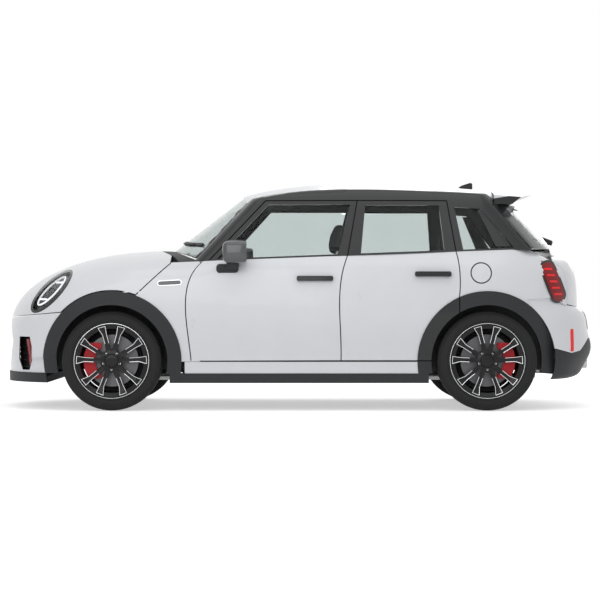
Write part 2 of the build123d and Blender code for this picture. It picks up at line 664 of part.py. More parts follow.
WELLS = (wheel_disc(FRONT_AXLE_X, WELL_R - 4.0, far=-456.0)
         + wheel_disc(REAR_AXLE_X, WELL_R - 4.0, far=-606.0))
APERTURES = polygon_block(FRONT_APERTURE, far=-300.0) + polygon_block(REAR_APERTURE, far=-300.0)
LIGHT_CUTS = (polygon_block(FRONT_LIGHT, grow=9.0) + polygon_block(REAR_LIGHT, grow=9.0)
              + polygon_block(QUARTER_LIGHT, grow=9.0) + HATCH_CUT + SCREEN_BLOCK + LOWER_BLOCK)
POST_BLOCK = (LOWER_BLOCK & box_between((-850, 1560), (-900, -300), (276, 1200))) - APERTURES - WELLS
FRAME_OUT = lower_body(DOOR_T + SEAT_GAP)
SWING_ROOM = (box_between((-775, -690), (-900, -788), (500, 860))
              + box_between((240, 330), (-900, -794), (560, 830)))
with BuildPart() as body_frame:
    add((FRAME_OUT & POST_BLOCK) - lower_body(DOOR_T + 24.0))
    add((cabin(CABIN_T + SEAT_GAP) & (box_between((-900, 1500), (-900, 0), (980, 1600)) - LIGHT_CUTS))
        - cabin(CABIN_T + 16.0))
    add((box_between((-850, 1072), (-728, 0), FLOOR_Z) + box_between((1060, 1072), (-590, 0), (250, 440))
         + box_between((1060, 1790), (-590, 0), (420, 440))
         + box_between((-850, 830), (-738, -690), (262, 374)))
        - WELLS)
    add(box_between((-824, -800), (-735, 0), (260, 960)) & FRAME_OUT)
    add((well_liner(FRONT_AXLE_X, -452.0) + well_liner(REAR_AXLE_X, -602.0)) & FRAME_OUT)
    with Locations((-620, -600, 220), (760, -600, 220)):
        Box(100, 60, 70)
    add(SWING_ROOM, mode=Mode.SUBTRACT)
    mirror(about=Plane.XZ)
body_frame.part.label = "body_frame"
export_step(body_frame.part, "parts/body_frame.step")

with BuildPart() as fuel_flap:
    with Locations(Location((1192, -850, 908), (-90, 0, 0))):
        Cylinder(FLAP_R, 300)
    add(BODY_OUT, mode=Mode.INTERSECT)
    add(BODY_SKIN, mode=Mode.SUBTRACT)
fuel_flap.part.label = "fuel_flap"
export_step(fuel_flap.part, "parts/fuel_flap.step")

with BuildPart() as roof_antenna:
    with BuildSketch(Plane(origin=(0, -16, 0), x_dir=(1, 0, 0), z_dir=(0, -1, 0))):
        with BuildLine():
            Polyline((1071, 1490), (1130, 1530), (1190, 1549), (1204, 1544), (1206, 1480), (1071, 1480),
                     close=True)
        make_face()
    extrude(amount=-32)
    add(CABIN_OUT, mode=Mode.SUBTRACT)
roof_antenna.part.label = "roof_antenna"
export_step(roof_antenna.part, "parts/roof_antenna.step")

# Interior
with BuildPart() as dashboard:
    with BuildSketch(Plane(origin=(0, -590, 0), x_dir=(1, 0, 0), z_dir=(0, -1, 0))):
        with BuildLine():
            Polyline((-800, 560), (-720, 560), (-575, 680), (-575, 880), (-620, 918), (-800, 925), close=True)
        make_face()
    extrude(amount=-1180)
dashboard.part.label = "dashboard"
export_step(dashboard.part, "parts/dashboard.step")


def seat(x, y, width, rest_top):
    """Cushion, raked backrest and headrest on a base."""
    with BuildPart() as chair:
        with Locations((x, y, 390)):
            Box(520, width, 170)
        with Locations((x, y, 290)):
            Box(380, width * 0.7, 32)
        with Locations(Location((x + 300, y, 700), (0, 16, 0))):
            Box(130, width, 600)
        with Locations(Location((x + 390, y, rest_top - 95), (0, 10, 0))):
            Box(100, min(width, 300) * 0.85, 190)
        with Locations(Location((x + 375, y, rest_top - 200), (0, 16, 0))):
            Box(30, 120, 140)
    return chair.part


with BuildPart() as front_seats:
    add(seat(-130.0, -370.0, 500.0, 1245.0))
    mirror(about=Plane.XZ)
front_seats.part.label = "front_seats"
export_step(front_seats.part, "parts/front_seats.step")

with BuildPart() as rear_seat:
    with Locations((700, 0, 402)):
        Box(480, 1160, 256)
    with Locations(Location((960, 0, 740), (0, 18, 0))):
        Box(130, 1160, 560)
    with Locations((1040, -330, 1130), (1040, 330, 1130)):
        Box(100, 270, 160)
    with Locations((1020, -330, 1030), (1020, 330, 1030)):
        Box(30, 120, 120)
rear_seat.part.label = "rear_seat"
export_step(rear_seat.part, "parts/rear_seat.step")

WHEEL_TILT = 24.0
with BuildPart() as steering_wheel:
    with Locations(Location((-430, -370, 825), (0, -90 - WHEEL_TILT, 0))):
        Torus(175, 16)
        Cylinder(48, 40)
        Box(340, 40, 16)
        Cylinder(20, 149, align=(Align.CENTER, Align.CENTER, Align.MIN))
steering_wheel.part.label = "steering_wheel"
export_step(steering_wheel.part, "parts/steering_wheel.step")

# Drive train and running gear
KING_Y = WHEEL_Y - 45.0
with BuildPart() as engine_block:
    with Locations((-1330, 0, 537)):
        Box(560, 700, 480)
    fillet(engine_block.edges(), 40)
engine_block.part.label = "engine_block"
export_step(engine_block.part, "parts/engine_block.step")

with BuildPart() as front_subframe:
    with Locations((FRONT_AXLE_X, 0, 262)):
        Box(420, 800, 70)
    with Locations((FRONT_AXLE_X, -530, 222), (FRONT_AXLE_X, 530, 222)):
        Box(90, 350, 26)
    with Locations((FRONT_AXLE_X, -530, 436), (FRONT_AXLE_X, 530, 436)):
        Box(50, 350, 24)
    with Locations((FRONT_AXLE_X, -380, 340), (FRONT_AXLE_X, 380, 340)):
        Box(90, 40, 216)
    with Locations((FRONT_AXLE_X, -KING_Y, 222), (FRONT_AXLE_X, KING_Y, 222)):
        Cylinder(26, 26)
        Cylinder(12, 44, align=(Align.CENTER, Align.CENTER, Align.MIN))
    with Locations((FRONT_AXLE_X, -KING_Y, 436), (FRONT_AXLE_X, KING_Y, 436)):
        Cylinder(26, 24)
        Cylinder(12, 44, align=(Align.CENTER, Align.CENTER, Align.MAX))
front_subframe.part.label = "front_subframe"
export_step(front_subframe.part, "parts/front_subframe.step")


def along_y(radius, y_from, y_to):
    """A round bar along Y about the origin."""
    with BuildPart() as bar:
        with Locations(Location((0, y_from, 0), (-90, 0, 0))):
            Cylinder(radius, y_to - y_from, align=(Align.CENTER, Align.CENTER, Align.MIN))
    return bar.part


HUB_R = 24.0
FIT = 0.06
with BuildPart() as carrier:
    add(along_y(54.0, 14.0, 76.0))
    with Locations((0, 45, 0)):
        Cylinder(27, 188)
    with Locations((-78, 21, 0)):
        Box(80, 14, 90)
    add(along_y(HUB_R + FIT, 0.0, 100.0), mode=Mode.SUBTRACT)
    with Locations((0, 45, 94), (0, 45, -94)):
        Cylinder(12 + FIT, 76, mode=Mode.SUBTRACT)
CARRIER = carrier.part

DISC_R = 172.0
with BuildPart() as caliper_block:
    add(along_y(189.0, -46.0, 28.0) - along_y(112.0, -60.0, 60.0))
    with Locations((-200, 0, 0)):
        Box(260, 120, 236, mode=Mode.INTERSECT)
    add(along_y(DISC_R + 6.0, -29.0, 9.0), mode=Mode.SUBTRACT)
CALIPER = caliper_block.part - CARRIER
REAR_CARRIER = mirror(CARRIER, about=Plane.YZ)
REAR_CALIPER = mirror(CALIPER, about=Plane.YZ)

with BuildPart() as front_knuckle_left:
    add(Pos(FRONT_AXLE_X, -WHEEL_Y, WHEEL_R) * CARRIER)
front_knuckle_left.part.label = "front_knuckle_left"
export_step(front_knuckle_left.part, "parts/front_knuckle_left.step")

with BuildPart() as front_knuckle_right:
    mirror(front_knuckle_left.part, about=Plane.XZ)
front_knuckle_right.part.label = "front_knuckle_right"
export_step(front_knuckle_right.part, "parts/front_knuckle_right.step")

with BuildPart() as front_caliper_left:
    add(Pos(FRONT_AXLE_X, -WHEEL_Y, WHEEL_R) * CALIPER)
front_caliper_left.part.label = "front_caliper_left"
export_step(front_caliper_left.part, "parts/front_caliper_left.step")

with BuildPart() as front_caliper_right:
    mirror(front_caliper_left.part, about=Plane.XZ)
front_caliper_right.part.label = "front_caliper_right"
export_step(front_caliper_right.part, "parts/front_caliper_right.step")

with BuildPart() as rear_calipers:
    add(Pos(REAR_AXLE_X, -WHEEL_Y, WHEEL_R) * REAR_CALIPER)
    mirror(about=Plane.XZ)
rear_calipers.part.label = "rear_calipers"
export_step(rear_calipers.part, "parts/rear_calipers.step")

with BuildPart() as rear_axle:
    add(Pos(REAR_AXLE_X, -WHEEL_Y, WHEEL_R) * REAR_CARRIER)
    with Locations((REAR_AXLE_X, -520, 250)):
        Box(90, 400, 60)
    with Locations((REAR_AXLE_X, -340, 250)):
        Box(300, 60, 60)
    with Locations((REAR_AXLE_X, -160, 250)):
        Box(60, 320, 60)
    with Locations((REAR_AXLE_X, -668, 262)):
        Box(60, 30, 60)
    mirror(about=Plane.XZ)
rear_axle.part.label = "rear_axle"
export_step(rear_axle.part, "parts/rear_axle.step")

with BuildPart() as exhaust:
    with Locations((1720, 0, 300)):
        Box(260, 620, 130)
    fillet(exhaust.edges().filter_by(Axis.Y), 50)
    with Locations(Location((1900, -60, 300), (0, 90, 0)), Location((1900, 60, 300), (0, 90, 0))):
        Cylinder(44, 190)
        Cylinder(38, 190, mode=Mode.SUBTRACT)
    with Locations((1720, -250, 392), (1720, 250, 392)):
        Box(24, 24, 56)
    with Locations(Location((300, 150, 190), (0, 90, 0))):
        Cylinder(24, 2680)
    with Locations((1640, 150, 222)):
        Cylinder(24, 80)
exhaust.part.label = "exhaust"
export_step(exhaust.part, "parts/exhaust.step")

# Wheels
with BuildPart() as tyre_form:
    with BuildSketch(Plane.XY):
        with BuildLine():
            Polyline((RIM_SEAT_R, -96), (RIM_R + 0.5, -98), (RIM_R + 0.5, -106), (272, -112), (WHEEL_R, -84),
                     (WHEEL_R, 84), (272, 112), (RIM_R + 0.5, 104), (RIM_R + 0.5, 98), (RIM_SEAT_R, 96),
                     close=True)
        make_face()
    revolve(axis=Axis.Y)
TYRE = tyre_form.part

SPOKE_SPLIT = 15.0
with BuildPart() as rim_form:
    with BuildSketch(Plane.XY):
        with BuildLine():
            Polyline((RIM_R, -108), (RIM_R, -99), (RIM_SEAT_R - 0.3, -97), (RIM_SEAT_R - 0.3, 97),
                     (RIM_R, 99),
                     (RIM_R, 106), (214, 106), (206, 60), (204, -70), (222, -108), close=True)
        make_face()
    revolve(axis=Axis.Y)
    for pair in range(5):
        for side in (-SPOKE_SPLIT, SPOKE_SPLIT):
            with Locations(Location((0, 0, 0), (0, 72.0 * pair + side, 0))):
                with Locations((0, -80, 138)):
                    Box(40, 34, 156)
    add(along_y(76.0, -92.0, -45.0))
    add(along_y(44.0, -98.0, -60.0))
    for bolt in range(5):
        angle = radians(72.0 * bolt + 36.0)
        with Locations(Location((56 * sin(angle), -92, 56 * cos(angle)), (90, 0, 0))):
            Cylinder(8, 24, mode=Mode.SUBTRACT)
RIM = rim_form.part

with BuildPart() as disc_form:
    add(along_y(DISC_R, -22.0, 2.0))
    add(along_y(78.0, -44.7, 2.0))
    add(along_y(HUB_R, -30.0, 72.0))
    add(along_y(70.0, -36.0, 10.0) - along_y(HUB_R, -40.0, 20.0), mode=Mode.SUBTRACT)
DISC = disc_form.part

with BuildPart() as tyre_front_left:
    add(Pos(FRONT_AXLE_X, -WHEEL_Y, WHEEL_R) * TYRE)
tyre_front_left.part.label = "tyre_front_left"
export_step(tyre_front_left.part, "parts/tyre_front_left.step")

with BuildPart() as rim_front_left:
    add(Pos(FRONT_AXLE_X, -WHEEL_Y, WHEEL_R) * RIM)
rim_front_left.part.label = "rim_front_left"
export_step(rim_front_left.part, "parts/rim_front_left.step")

with BuildPart() as disc_front_left:
    add(Pos(FRONT_AXLE_X, -WHEEL_Y, WHEEL_R) * DISC)
disc_front_left.part.label = "disc_front_left"
export_step(disc_front_left.part, "parts/disc_front_left.step")

with BuildPart() as tyre_front_right:
    mirror(tyre_front_left.part, about=Plane.XZ)
tyre_front_right.part.label = "tyre_front_right"
export_step(tyre_front_right.part, "parts/tyre_front_right.step")

with BuildPart() as rim_front_right:
    mirror(rim_front_left.part, about=Plane.XZ)
rim_front_right.part.label = "rim_front_right"
export_step(rim_front_right.part, "parts/rim_front_right.step")

with BuildPart() as disc_front_right:
    mirror(disc_front_left.part, about=Plane.XZ)
disc_front_right.part.label = "disc_front_right"
export_step(disc_front_right.part, "parts/disc_front_right.step")

with BuildPart() as tyre_rear_left:
    add(Pos(REAR_AXLE_X, -WHEEL_Y, WHEEL_R) * TYRE)
tyre_rear_left.part.label = "tyre_rear_left"
export_step(tyre_rear_left.part, "parts/tyre_rear_left.step")

with BuildPart() as rim_rear_left:
    add(Pos(REAR_AXLE_X, -WHEEL_Y, WHEEL_R) * RIM)
rim_rear_left.part.label = "rim_rear_left"
export_step(rim_rear_left.part, "parts/rim_rear_left.step")

with BuildPart() as disc_rear_left:
    add(Pos(REAR_AXLE_X, -WHEEL_Y, WHEEL_R) * DISC)
disc_rear_left.part.label = "disc_rear_left"
export_step(disc_rear_left.part, "parts/disc_rear_left.step")

with BuildPart() as tyre_rear_right:
    mirror(tyre_rear_left.part, about=Plane.XZ)
tyre_rear_right.part.label = "tyre_rear_right"
export_step(tyre_rear_right.part, "parts/tyre_rear_right.step")

with BuildPart() as rim_rear_right:
    mirror(rim_rear_left.part, about=Plane.XZ)
rim_rear_right.part.label = "rim_rear_right"
export_step(rim_rear_right.part, "parts/rim_rear_right.step")

with BuildPart() as disc_rear_right:
    mirror(disc_rear_left.part, about=Plane.XZ)
disc_rear_right.part.label = "disc_rear_right"
export_step(disc_rear_right.part, "parts/disc_rear_right.step")
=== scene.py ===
"""Dressed visual model of a five-door hot hatchback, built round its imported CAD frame."""
import json
import logging
import math
from dataclasses import dataclass, field
from enum import Enum
from typing import Callable

import bpy
import numpy as np
from mathutils import Matrix, Vector
from mathutils.bvhtree import BVHTree

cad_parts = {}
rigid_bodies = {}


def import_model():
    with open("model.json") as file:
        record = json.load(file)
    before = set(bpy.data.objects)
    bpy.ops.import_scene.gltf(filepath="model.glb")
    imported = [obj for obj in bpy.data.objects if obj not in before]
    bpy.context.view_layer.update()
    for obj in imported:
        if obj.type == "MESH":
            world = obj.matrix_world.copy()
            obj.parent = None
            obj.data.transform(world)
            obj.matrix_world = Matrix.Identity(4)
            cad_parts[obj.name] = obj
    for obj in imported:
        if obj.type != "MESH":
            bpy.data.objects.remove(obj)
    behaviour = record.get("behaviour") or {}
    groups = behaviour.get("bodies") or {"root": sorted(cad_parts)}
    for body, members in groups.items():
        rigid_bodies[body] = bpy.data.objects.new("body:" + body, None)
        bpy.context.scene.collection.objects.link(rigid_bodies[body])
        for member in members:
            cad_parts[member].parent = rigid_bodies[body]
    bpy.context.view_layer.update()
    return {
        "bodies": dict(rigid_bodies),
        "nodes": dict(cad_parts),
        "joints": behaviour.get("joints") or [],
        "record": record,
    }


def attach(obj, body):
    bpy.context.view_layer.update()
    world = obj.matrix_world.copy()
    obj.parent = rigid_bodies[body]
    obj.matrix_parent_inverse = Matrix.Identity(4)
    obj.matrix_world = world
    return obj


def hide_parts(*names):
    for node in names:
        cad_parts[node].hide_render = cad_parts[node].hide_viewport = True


LOG = logging.getLogger("hatchback")
SIDES = {"left": -1.0, "right": 1.0}
AXLE_X = {"front": -1.241, "rear": 1.234}
HUB_Z = 0.329
BESIDE_Y = -1.0
MERGE_M = 0.00002
SMOOTH_DEG = 32.0
TRIM_SMOOTH_DEG = 40.0
COAT_ROUGHNESS = 0.04
DRIFT_SCALE = 6.0
DRIFT_DETAIL = 4.0
GLOSS_DRIFT = 0.06
RELIEF_M = 0.002


class Grain(Enum):
    """Kinds of fine surface that a finish can have."""

    PEARL = "pearl"
    MOULDED = "moulded"
    RUBBER = "rubber"
    BRUSHED = "brushed"
    TURNED = "turned"
    CAST = "cast"
    WEAVE = "weave"
    CLEAR = "clear"
    LENS = "lens"


@dataclass(frozen=True)
class Finish:
    """One finish of the car: its colour, gloss and fine surface."""

    name: str
    slot: str
    colour: tuple[float, float, float]
    grain: Grain
    roughness: float = 0.4
    metallic: float = 0.0
    coat: float = 0.0
    clear: float = 0.0
    ior: float = 1.45
    scale: float = 200.0
    bump: float = 0.1
    spread: float = 0.06
    glow: float = 0.0
    centre: tuple[float, float, float] = (0.0, 0.0, 0.0)

    def build(self) -> bpy.types.Material:
        """Make the finish as a node material, once.

        Returns:
            The material.
        """
        known = bpy.data.materials.get(self.name)
        if known:
            return known
        material = bpy.data.materials.new(self.name)
        material.use_nodes = True
        nodes = material.node_tree.nodes
        links = material.node_tree.links
        shader = nodes["Principled BSDF"]
        shader.inputs["Metallic"].default_value = self.metallic
        shader.inputs["Coat Weight"].default_value = self.coat
        shader.inputs["Coat Roughness"].default_value = COAT_ROUGHNESS
        shader.inputs["Transmission Weight"].default_value = self.clear
        shader.inputs["IOR"].default_value = self.ior
        if self.glow:
            shader.inputs["Emission Color"].default_value = (*self.colour, 1.0)
            shader.inputs["Emission Strength"].default_value = self.glow
        place = nodes.new("ShaderNodeTexCoord")
        mapping = nodes.new("ShaderNodeMapping")
        mapping.inputs["Location"].default_value = tuple(-value for value in self.centre)
        links.new(place.outputs["Object"], mapping.inputs["Vector"])
        drift = nodes.new("ShaderNodeTexNoise")
        drift.inputs["Scale"].default_value = DRIFT_SCALE
        drift.inputs["Detail"].default_value = DRIFT_DETAIL
        links.new(mapping.outputs["Vector"], drift.inputs["Vector"])
        self._tone(material.node_tree, drift, shader)
        if self.grain is not Grain.CLEAR:
            self._gloss(material.node_tree, drift, shader)
            self._relief(material.node_tree, mapping, shader)
        else:
            shader.inputs["Roughness"].default_value = self.roughness
        return material

    def _tone(self, tree: bpy.types.NodeTree, drift: bpy.types.Node, shader: bpy.types.Node) -> None:
        """Vary the colour a little over the surface.

        Args:
            tree: The material's node tree.
            drift: The slow noise that varies it.
            shader: The shader that is fed.
        """
        nodes, links = tree.nodes, tree.links
        ramp = nodes.new("ShaderNodeValToRGB")
        dark = tuple(value * (1.0 - self.spread) for value in self.colour)
        light = tuple(min(1.0, value * (1.0 + self.spread)) for value in self.colour)
        ramp.color_ramp.elements[0].position = 0.3
        ramp.color_ramp.elements[0].color = (*dark, 1.0)
        ramp.color_ramp.elements[1].position = 0.7
        ramp.color_ramp.elements[1].color = (*light, 1.0)
        links.new(drift.outputs["Fac"], ramp.inputs["Fac"])
        links.new(ramp.outputs["Color"], shader.inputs["Base Color"])

    def _gloss(self, tree: bpy.types.NodeTree, drift: bpy.types.Node, shader: bpy.types.Node) -> None:
        """Vary the roughness a little over the surface.

        Args:
            tree: The material's node tree.
            drift: The slow noise that varies it.
            shader: The shader that is fed.
        """
        nodes, links = tree.nodes, tree.links
        span = nodes.new("ShaderNodeMapRange")
        span.inputs["To Min"].default_value = max(0.0, self.roughness - GLOSS_DRIFT)
        span.inputs["To Max"].default_value = min(1.0, self.roughness + GLOSS_DRIFT)
        links.new(drift.outputs["Fac"], span.inputs["Value"])
        links.new(span.outputs["Result"], shader.inputs["Roughness"])

    def _relief(self, tree: bpy.types.NodeTree, mapping: bpy.types.Node, shader: bpy.types.Node) -> None:
        """Give the surface its fine relief, by the kind of grain.

        Args:
            tree: The material's node tree.
            mapping: The place on the piece.
            shader: The shader that is fed.
        """
        nodes, links = tree.nodes, tree.links
        bump = nodes.new("ShaderNodeBump")
        bump.inputs["Strength"].default_value = self.bump
        bump.inputs["Distance"].default_value = RELIEF_M
        if self.grain is Grain.WEAVE:
            height = self._weave(tree, mapping)
        elif self.grain is Grain.TURNED:
            rings = nodes.new("ShaderNodeTexWave")
            rings.wave_type = "RINGS"
            rings.rings_direction = "Y"
            rings.inputs["Scale"].default_value = self.scale
            rings.inputs["Distortion"].default_value = 1.5
            links.new(mapping.outputs["Vector"], rings.inputs["Vector"])
            height = rings.outputs["Fac"]
        elif self.grain in (Grain.MOULDED, Grain.LENS):
            cells = nodes.new("ShaderNodeTexVoronoi")
            cells.inputs["Scale"].default_value = self.scale
            links.new(mapping.outputs["Vector"], cells.inputs["Vector"])
            height = cells.outputs["Distance"]
        else:
            fine = nodes.new("ShaderNodeTexNoise")
            fine.inputs["Scale"].default_value = self.scale
            fine.inputs["Detail"].default_value = 6.0
            if self.grain is Grain.BRUSHED:
                mapping.inputs["Scale"].default_value = (1.0, 30.0, 30.0)
            links.new(mapping.outputs["Vector"], fine.inputs["Vector"])
            height = fine.outputs["Fac"]
        links.new(height, bump.inputs["Height"])
        links.new(bump.outputs["Normal"], shader.inputs["Normal"])

    def _weave(self, tree: bpy.types.NodeTree, mapping: bpy.types.Node) -> bpy.types.NodeSocket:
        """Two crossed sets of threads.

        Args:
            tree: The material's node tree.
            mapping: The place on the piece.

        Returns:
            The socket that gives the weave's height.
        """
        nodes, links = tree.nodes, tree.links
        threads = []
        for direction in ("X", "Z"):
            wave = nodes.new("ShaderNodeTexWave")
            wave.bands_direction = direction
            wave.inputs["Scale"].default_value = self.scale
            wave.inputs["Distortion"].default_value = 0.6
            links.new(mapping.outputs["Vector"], wave.inputs["Vector"])
            threads.append(wave.outputs["Fac"])
        cross = nodes.new("ShaderNodeMath")
        cross.operation = "MULTIPLY"
        links.new(threads[0], cross.inputs[0])
        links.new(threads[1], cross.inputs[1])
        return cross.outputs["Value"]


WHITE_PAINT = Finish("white_pearl_paint", "white_paint", (0.69, 0.705, 0.735), Grain.PEARL, 0.3, 0.0, 0.35,
                     scale=1400.0, bump=0.015, spread=0.012)
GLOSS_BLACK = Finish("gloss_black_trim", "black_gloss", (0.014, 0.015, 0.016), Grain.PEARL, 0.2, coat=0.25,
                     ior=1.35, scale=700.0, bump=0.01)
GRAIN_BLACK = Finish("grained_black_moulding", "black_plastic", (0.026, 0.027, 0.029), Grain.MOULDED, 0.55,
                     ior=1.35, scale=420.0, bump=0.12)
CAP_GREY = Finish("mirror_cap_grey", "black_gloss", (0.07, 0.073, 0.078), Grain.PEARL, 0.22, 0.3, 0.5,
                  scale=900.0, bump=0.01)
WINDOW = Finish("tinted_window", "clear_glass", (0.71, 0.76, 0.75), Grain.CLEAR, 0.0, clear=1.0, ior=1.2,
                spread=0.01)
PRIVACY = Finish("dark_window", "clear_glass", (0.42, 0.45, 0.45), Grain.CLEAR, 0.0, clear=1.0, ior=1.2,
                 spread=0.01)
LAMP_CLEAR = Finish("clear_lamp_cover", "lamp_lens", (0.96, 0.97, 0.98), Grain.CLEAR, 0.0, clear=1.0,
                    ior=1.06, spread=0.005)
LAMP_LIGHT = Finish("lit_lamp_ring", "lamp_lens", (0.92, 0.94, 0.96), Grain.LENS, 0.2, scale=300.0, bump=0.05,
                    glow=0.12)
LAMP_BOWL = Finish("lamp_bowl_grey", "black_gloss", (0.10, 0.105, 0.11), Grain.LENS, 0.3, 0.4, scale=160.0)
LAMP_RED = Finish("red_lamp_cover", "red_lens", (0.22, 0.004, 0.006), Grain.LENS, 0.2, coat=0.15, ior=1.3,
                  scale=220.0, bump=0.08)
# Glow of the tail lamp bars, which are lamps; the rear reflectors share it, where it is a painted glow, as
# they are no lamp.
RED_LIT_LAMP_AND_PAINTED_GLOW = Finish("red_lit_lamp_and_painted_reflector_glow", "red_lens", (0.80, 0.02, 0.025), Grain.LENS, 0.2, ior=1.3, scale=260.0,
                      bump=0.1, glow=0.10)
TYRE_RUBBER = Finish("tyre_rubber_black", "tyre_rubber", (0.020, 0.020, 0.021), Grain.RUBBER, 0.72, ior=1.3,
                     scale=260.0, bump=0.18)
RIM_BLACK = Finish("rim_gloss_black", "rim_black", (0.006, 0.006, 0.007), Grain.PEARL, 0.22, coat=0.1,
                   ior=1.3, scale=800.0, bump=0.01)
RIM_BRIGHT = Finish("rim_machined_edge", "disc_steel", (0.80, 0.81, 0.82), Grain.BRUSHED, 0.28, 0.9,
                    scale=40.0, bump=0.03)
CALIPER_RED = Finish("caliper_red_paint", "caliper_red", (0.55, 0.008, 0.016), Grain.CAST, 0.3, coat=0.1,
                     ior=1.3, scale=160.0, bump=0.06)
CAST_DARK = Finish("dark_cast_metal", "cast_metal", (0.075, 0.075, 0.078), Grain.CAST, 0.55, 0.5, scale=140.0,
                   bump=0.25)
SEALED = Finish("underbody_sealer", "underbody", (0.055, 0.055, 0.058), Grain.CAST, 0.75,
                scale=60.0, bump=0.3)
SOFT_PLASTIC = Finish("dash_soft_plastic", "dash_plastic", (0.035, 0.035, 0.037), Grain.MOULDED, 0.6,
                      scale=360.0, bump=0.15)
STEEL = Finish("exhaust_steel_brushed", "exhaust_steel", (0.50, 0.50, 0.50), Grain.BRUSHED, 0.32, 0.95,
               scale=30.0, bump=0.05)
CLOTH = Finish("seat_woven_cloth", "seat_cloth", (0.045, 0.045, 0.049), Grain.WEAVE, 0.85,
               scale=300.0, bump=0.35)
PLATE_WHITE = Finish("plain_plate", "white_paint", (0.70, 0.70, 0.69), Grain.PEARL, 0.35,
                     scale=500.0, bump=0.02)
MIRROR_FACE = Finish("mirror_face", "disc_steel", (0.86, 0.88, 0.90), Grain.PEARL, 0.03, 1.0, scale=900.0,
                     bump=0.002)


def disc_finish(end: str) -> Finish:
    """The turned face of a brake disc, ringed about its own axle.

    Args:
        end: Which axle, front or rear.

    Returns:
        The finish.
    """
    return Finish(f"disc_turned_{end}", "disc_steel", (0.12, 0.12, 0.125), Grain.TURNED, 0.4, 0.8,
                  scale=120.0, bump=0.08, centre=(AXLE_X[end], 0.0, HUB_Z))


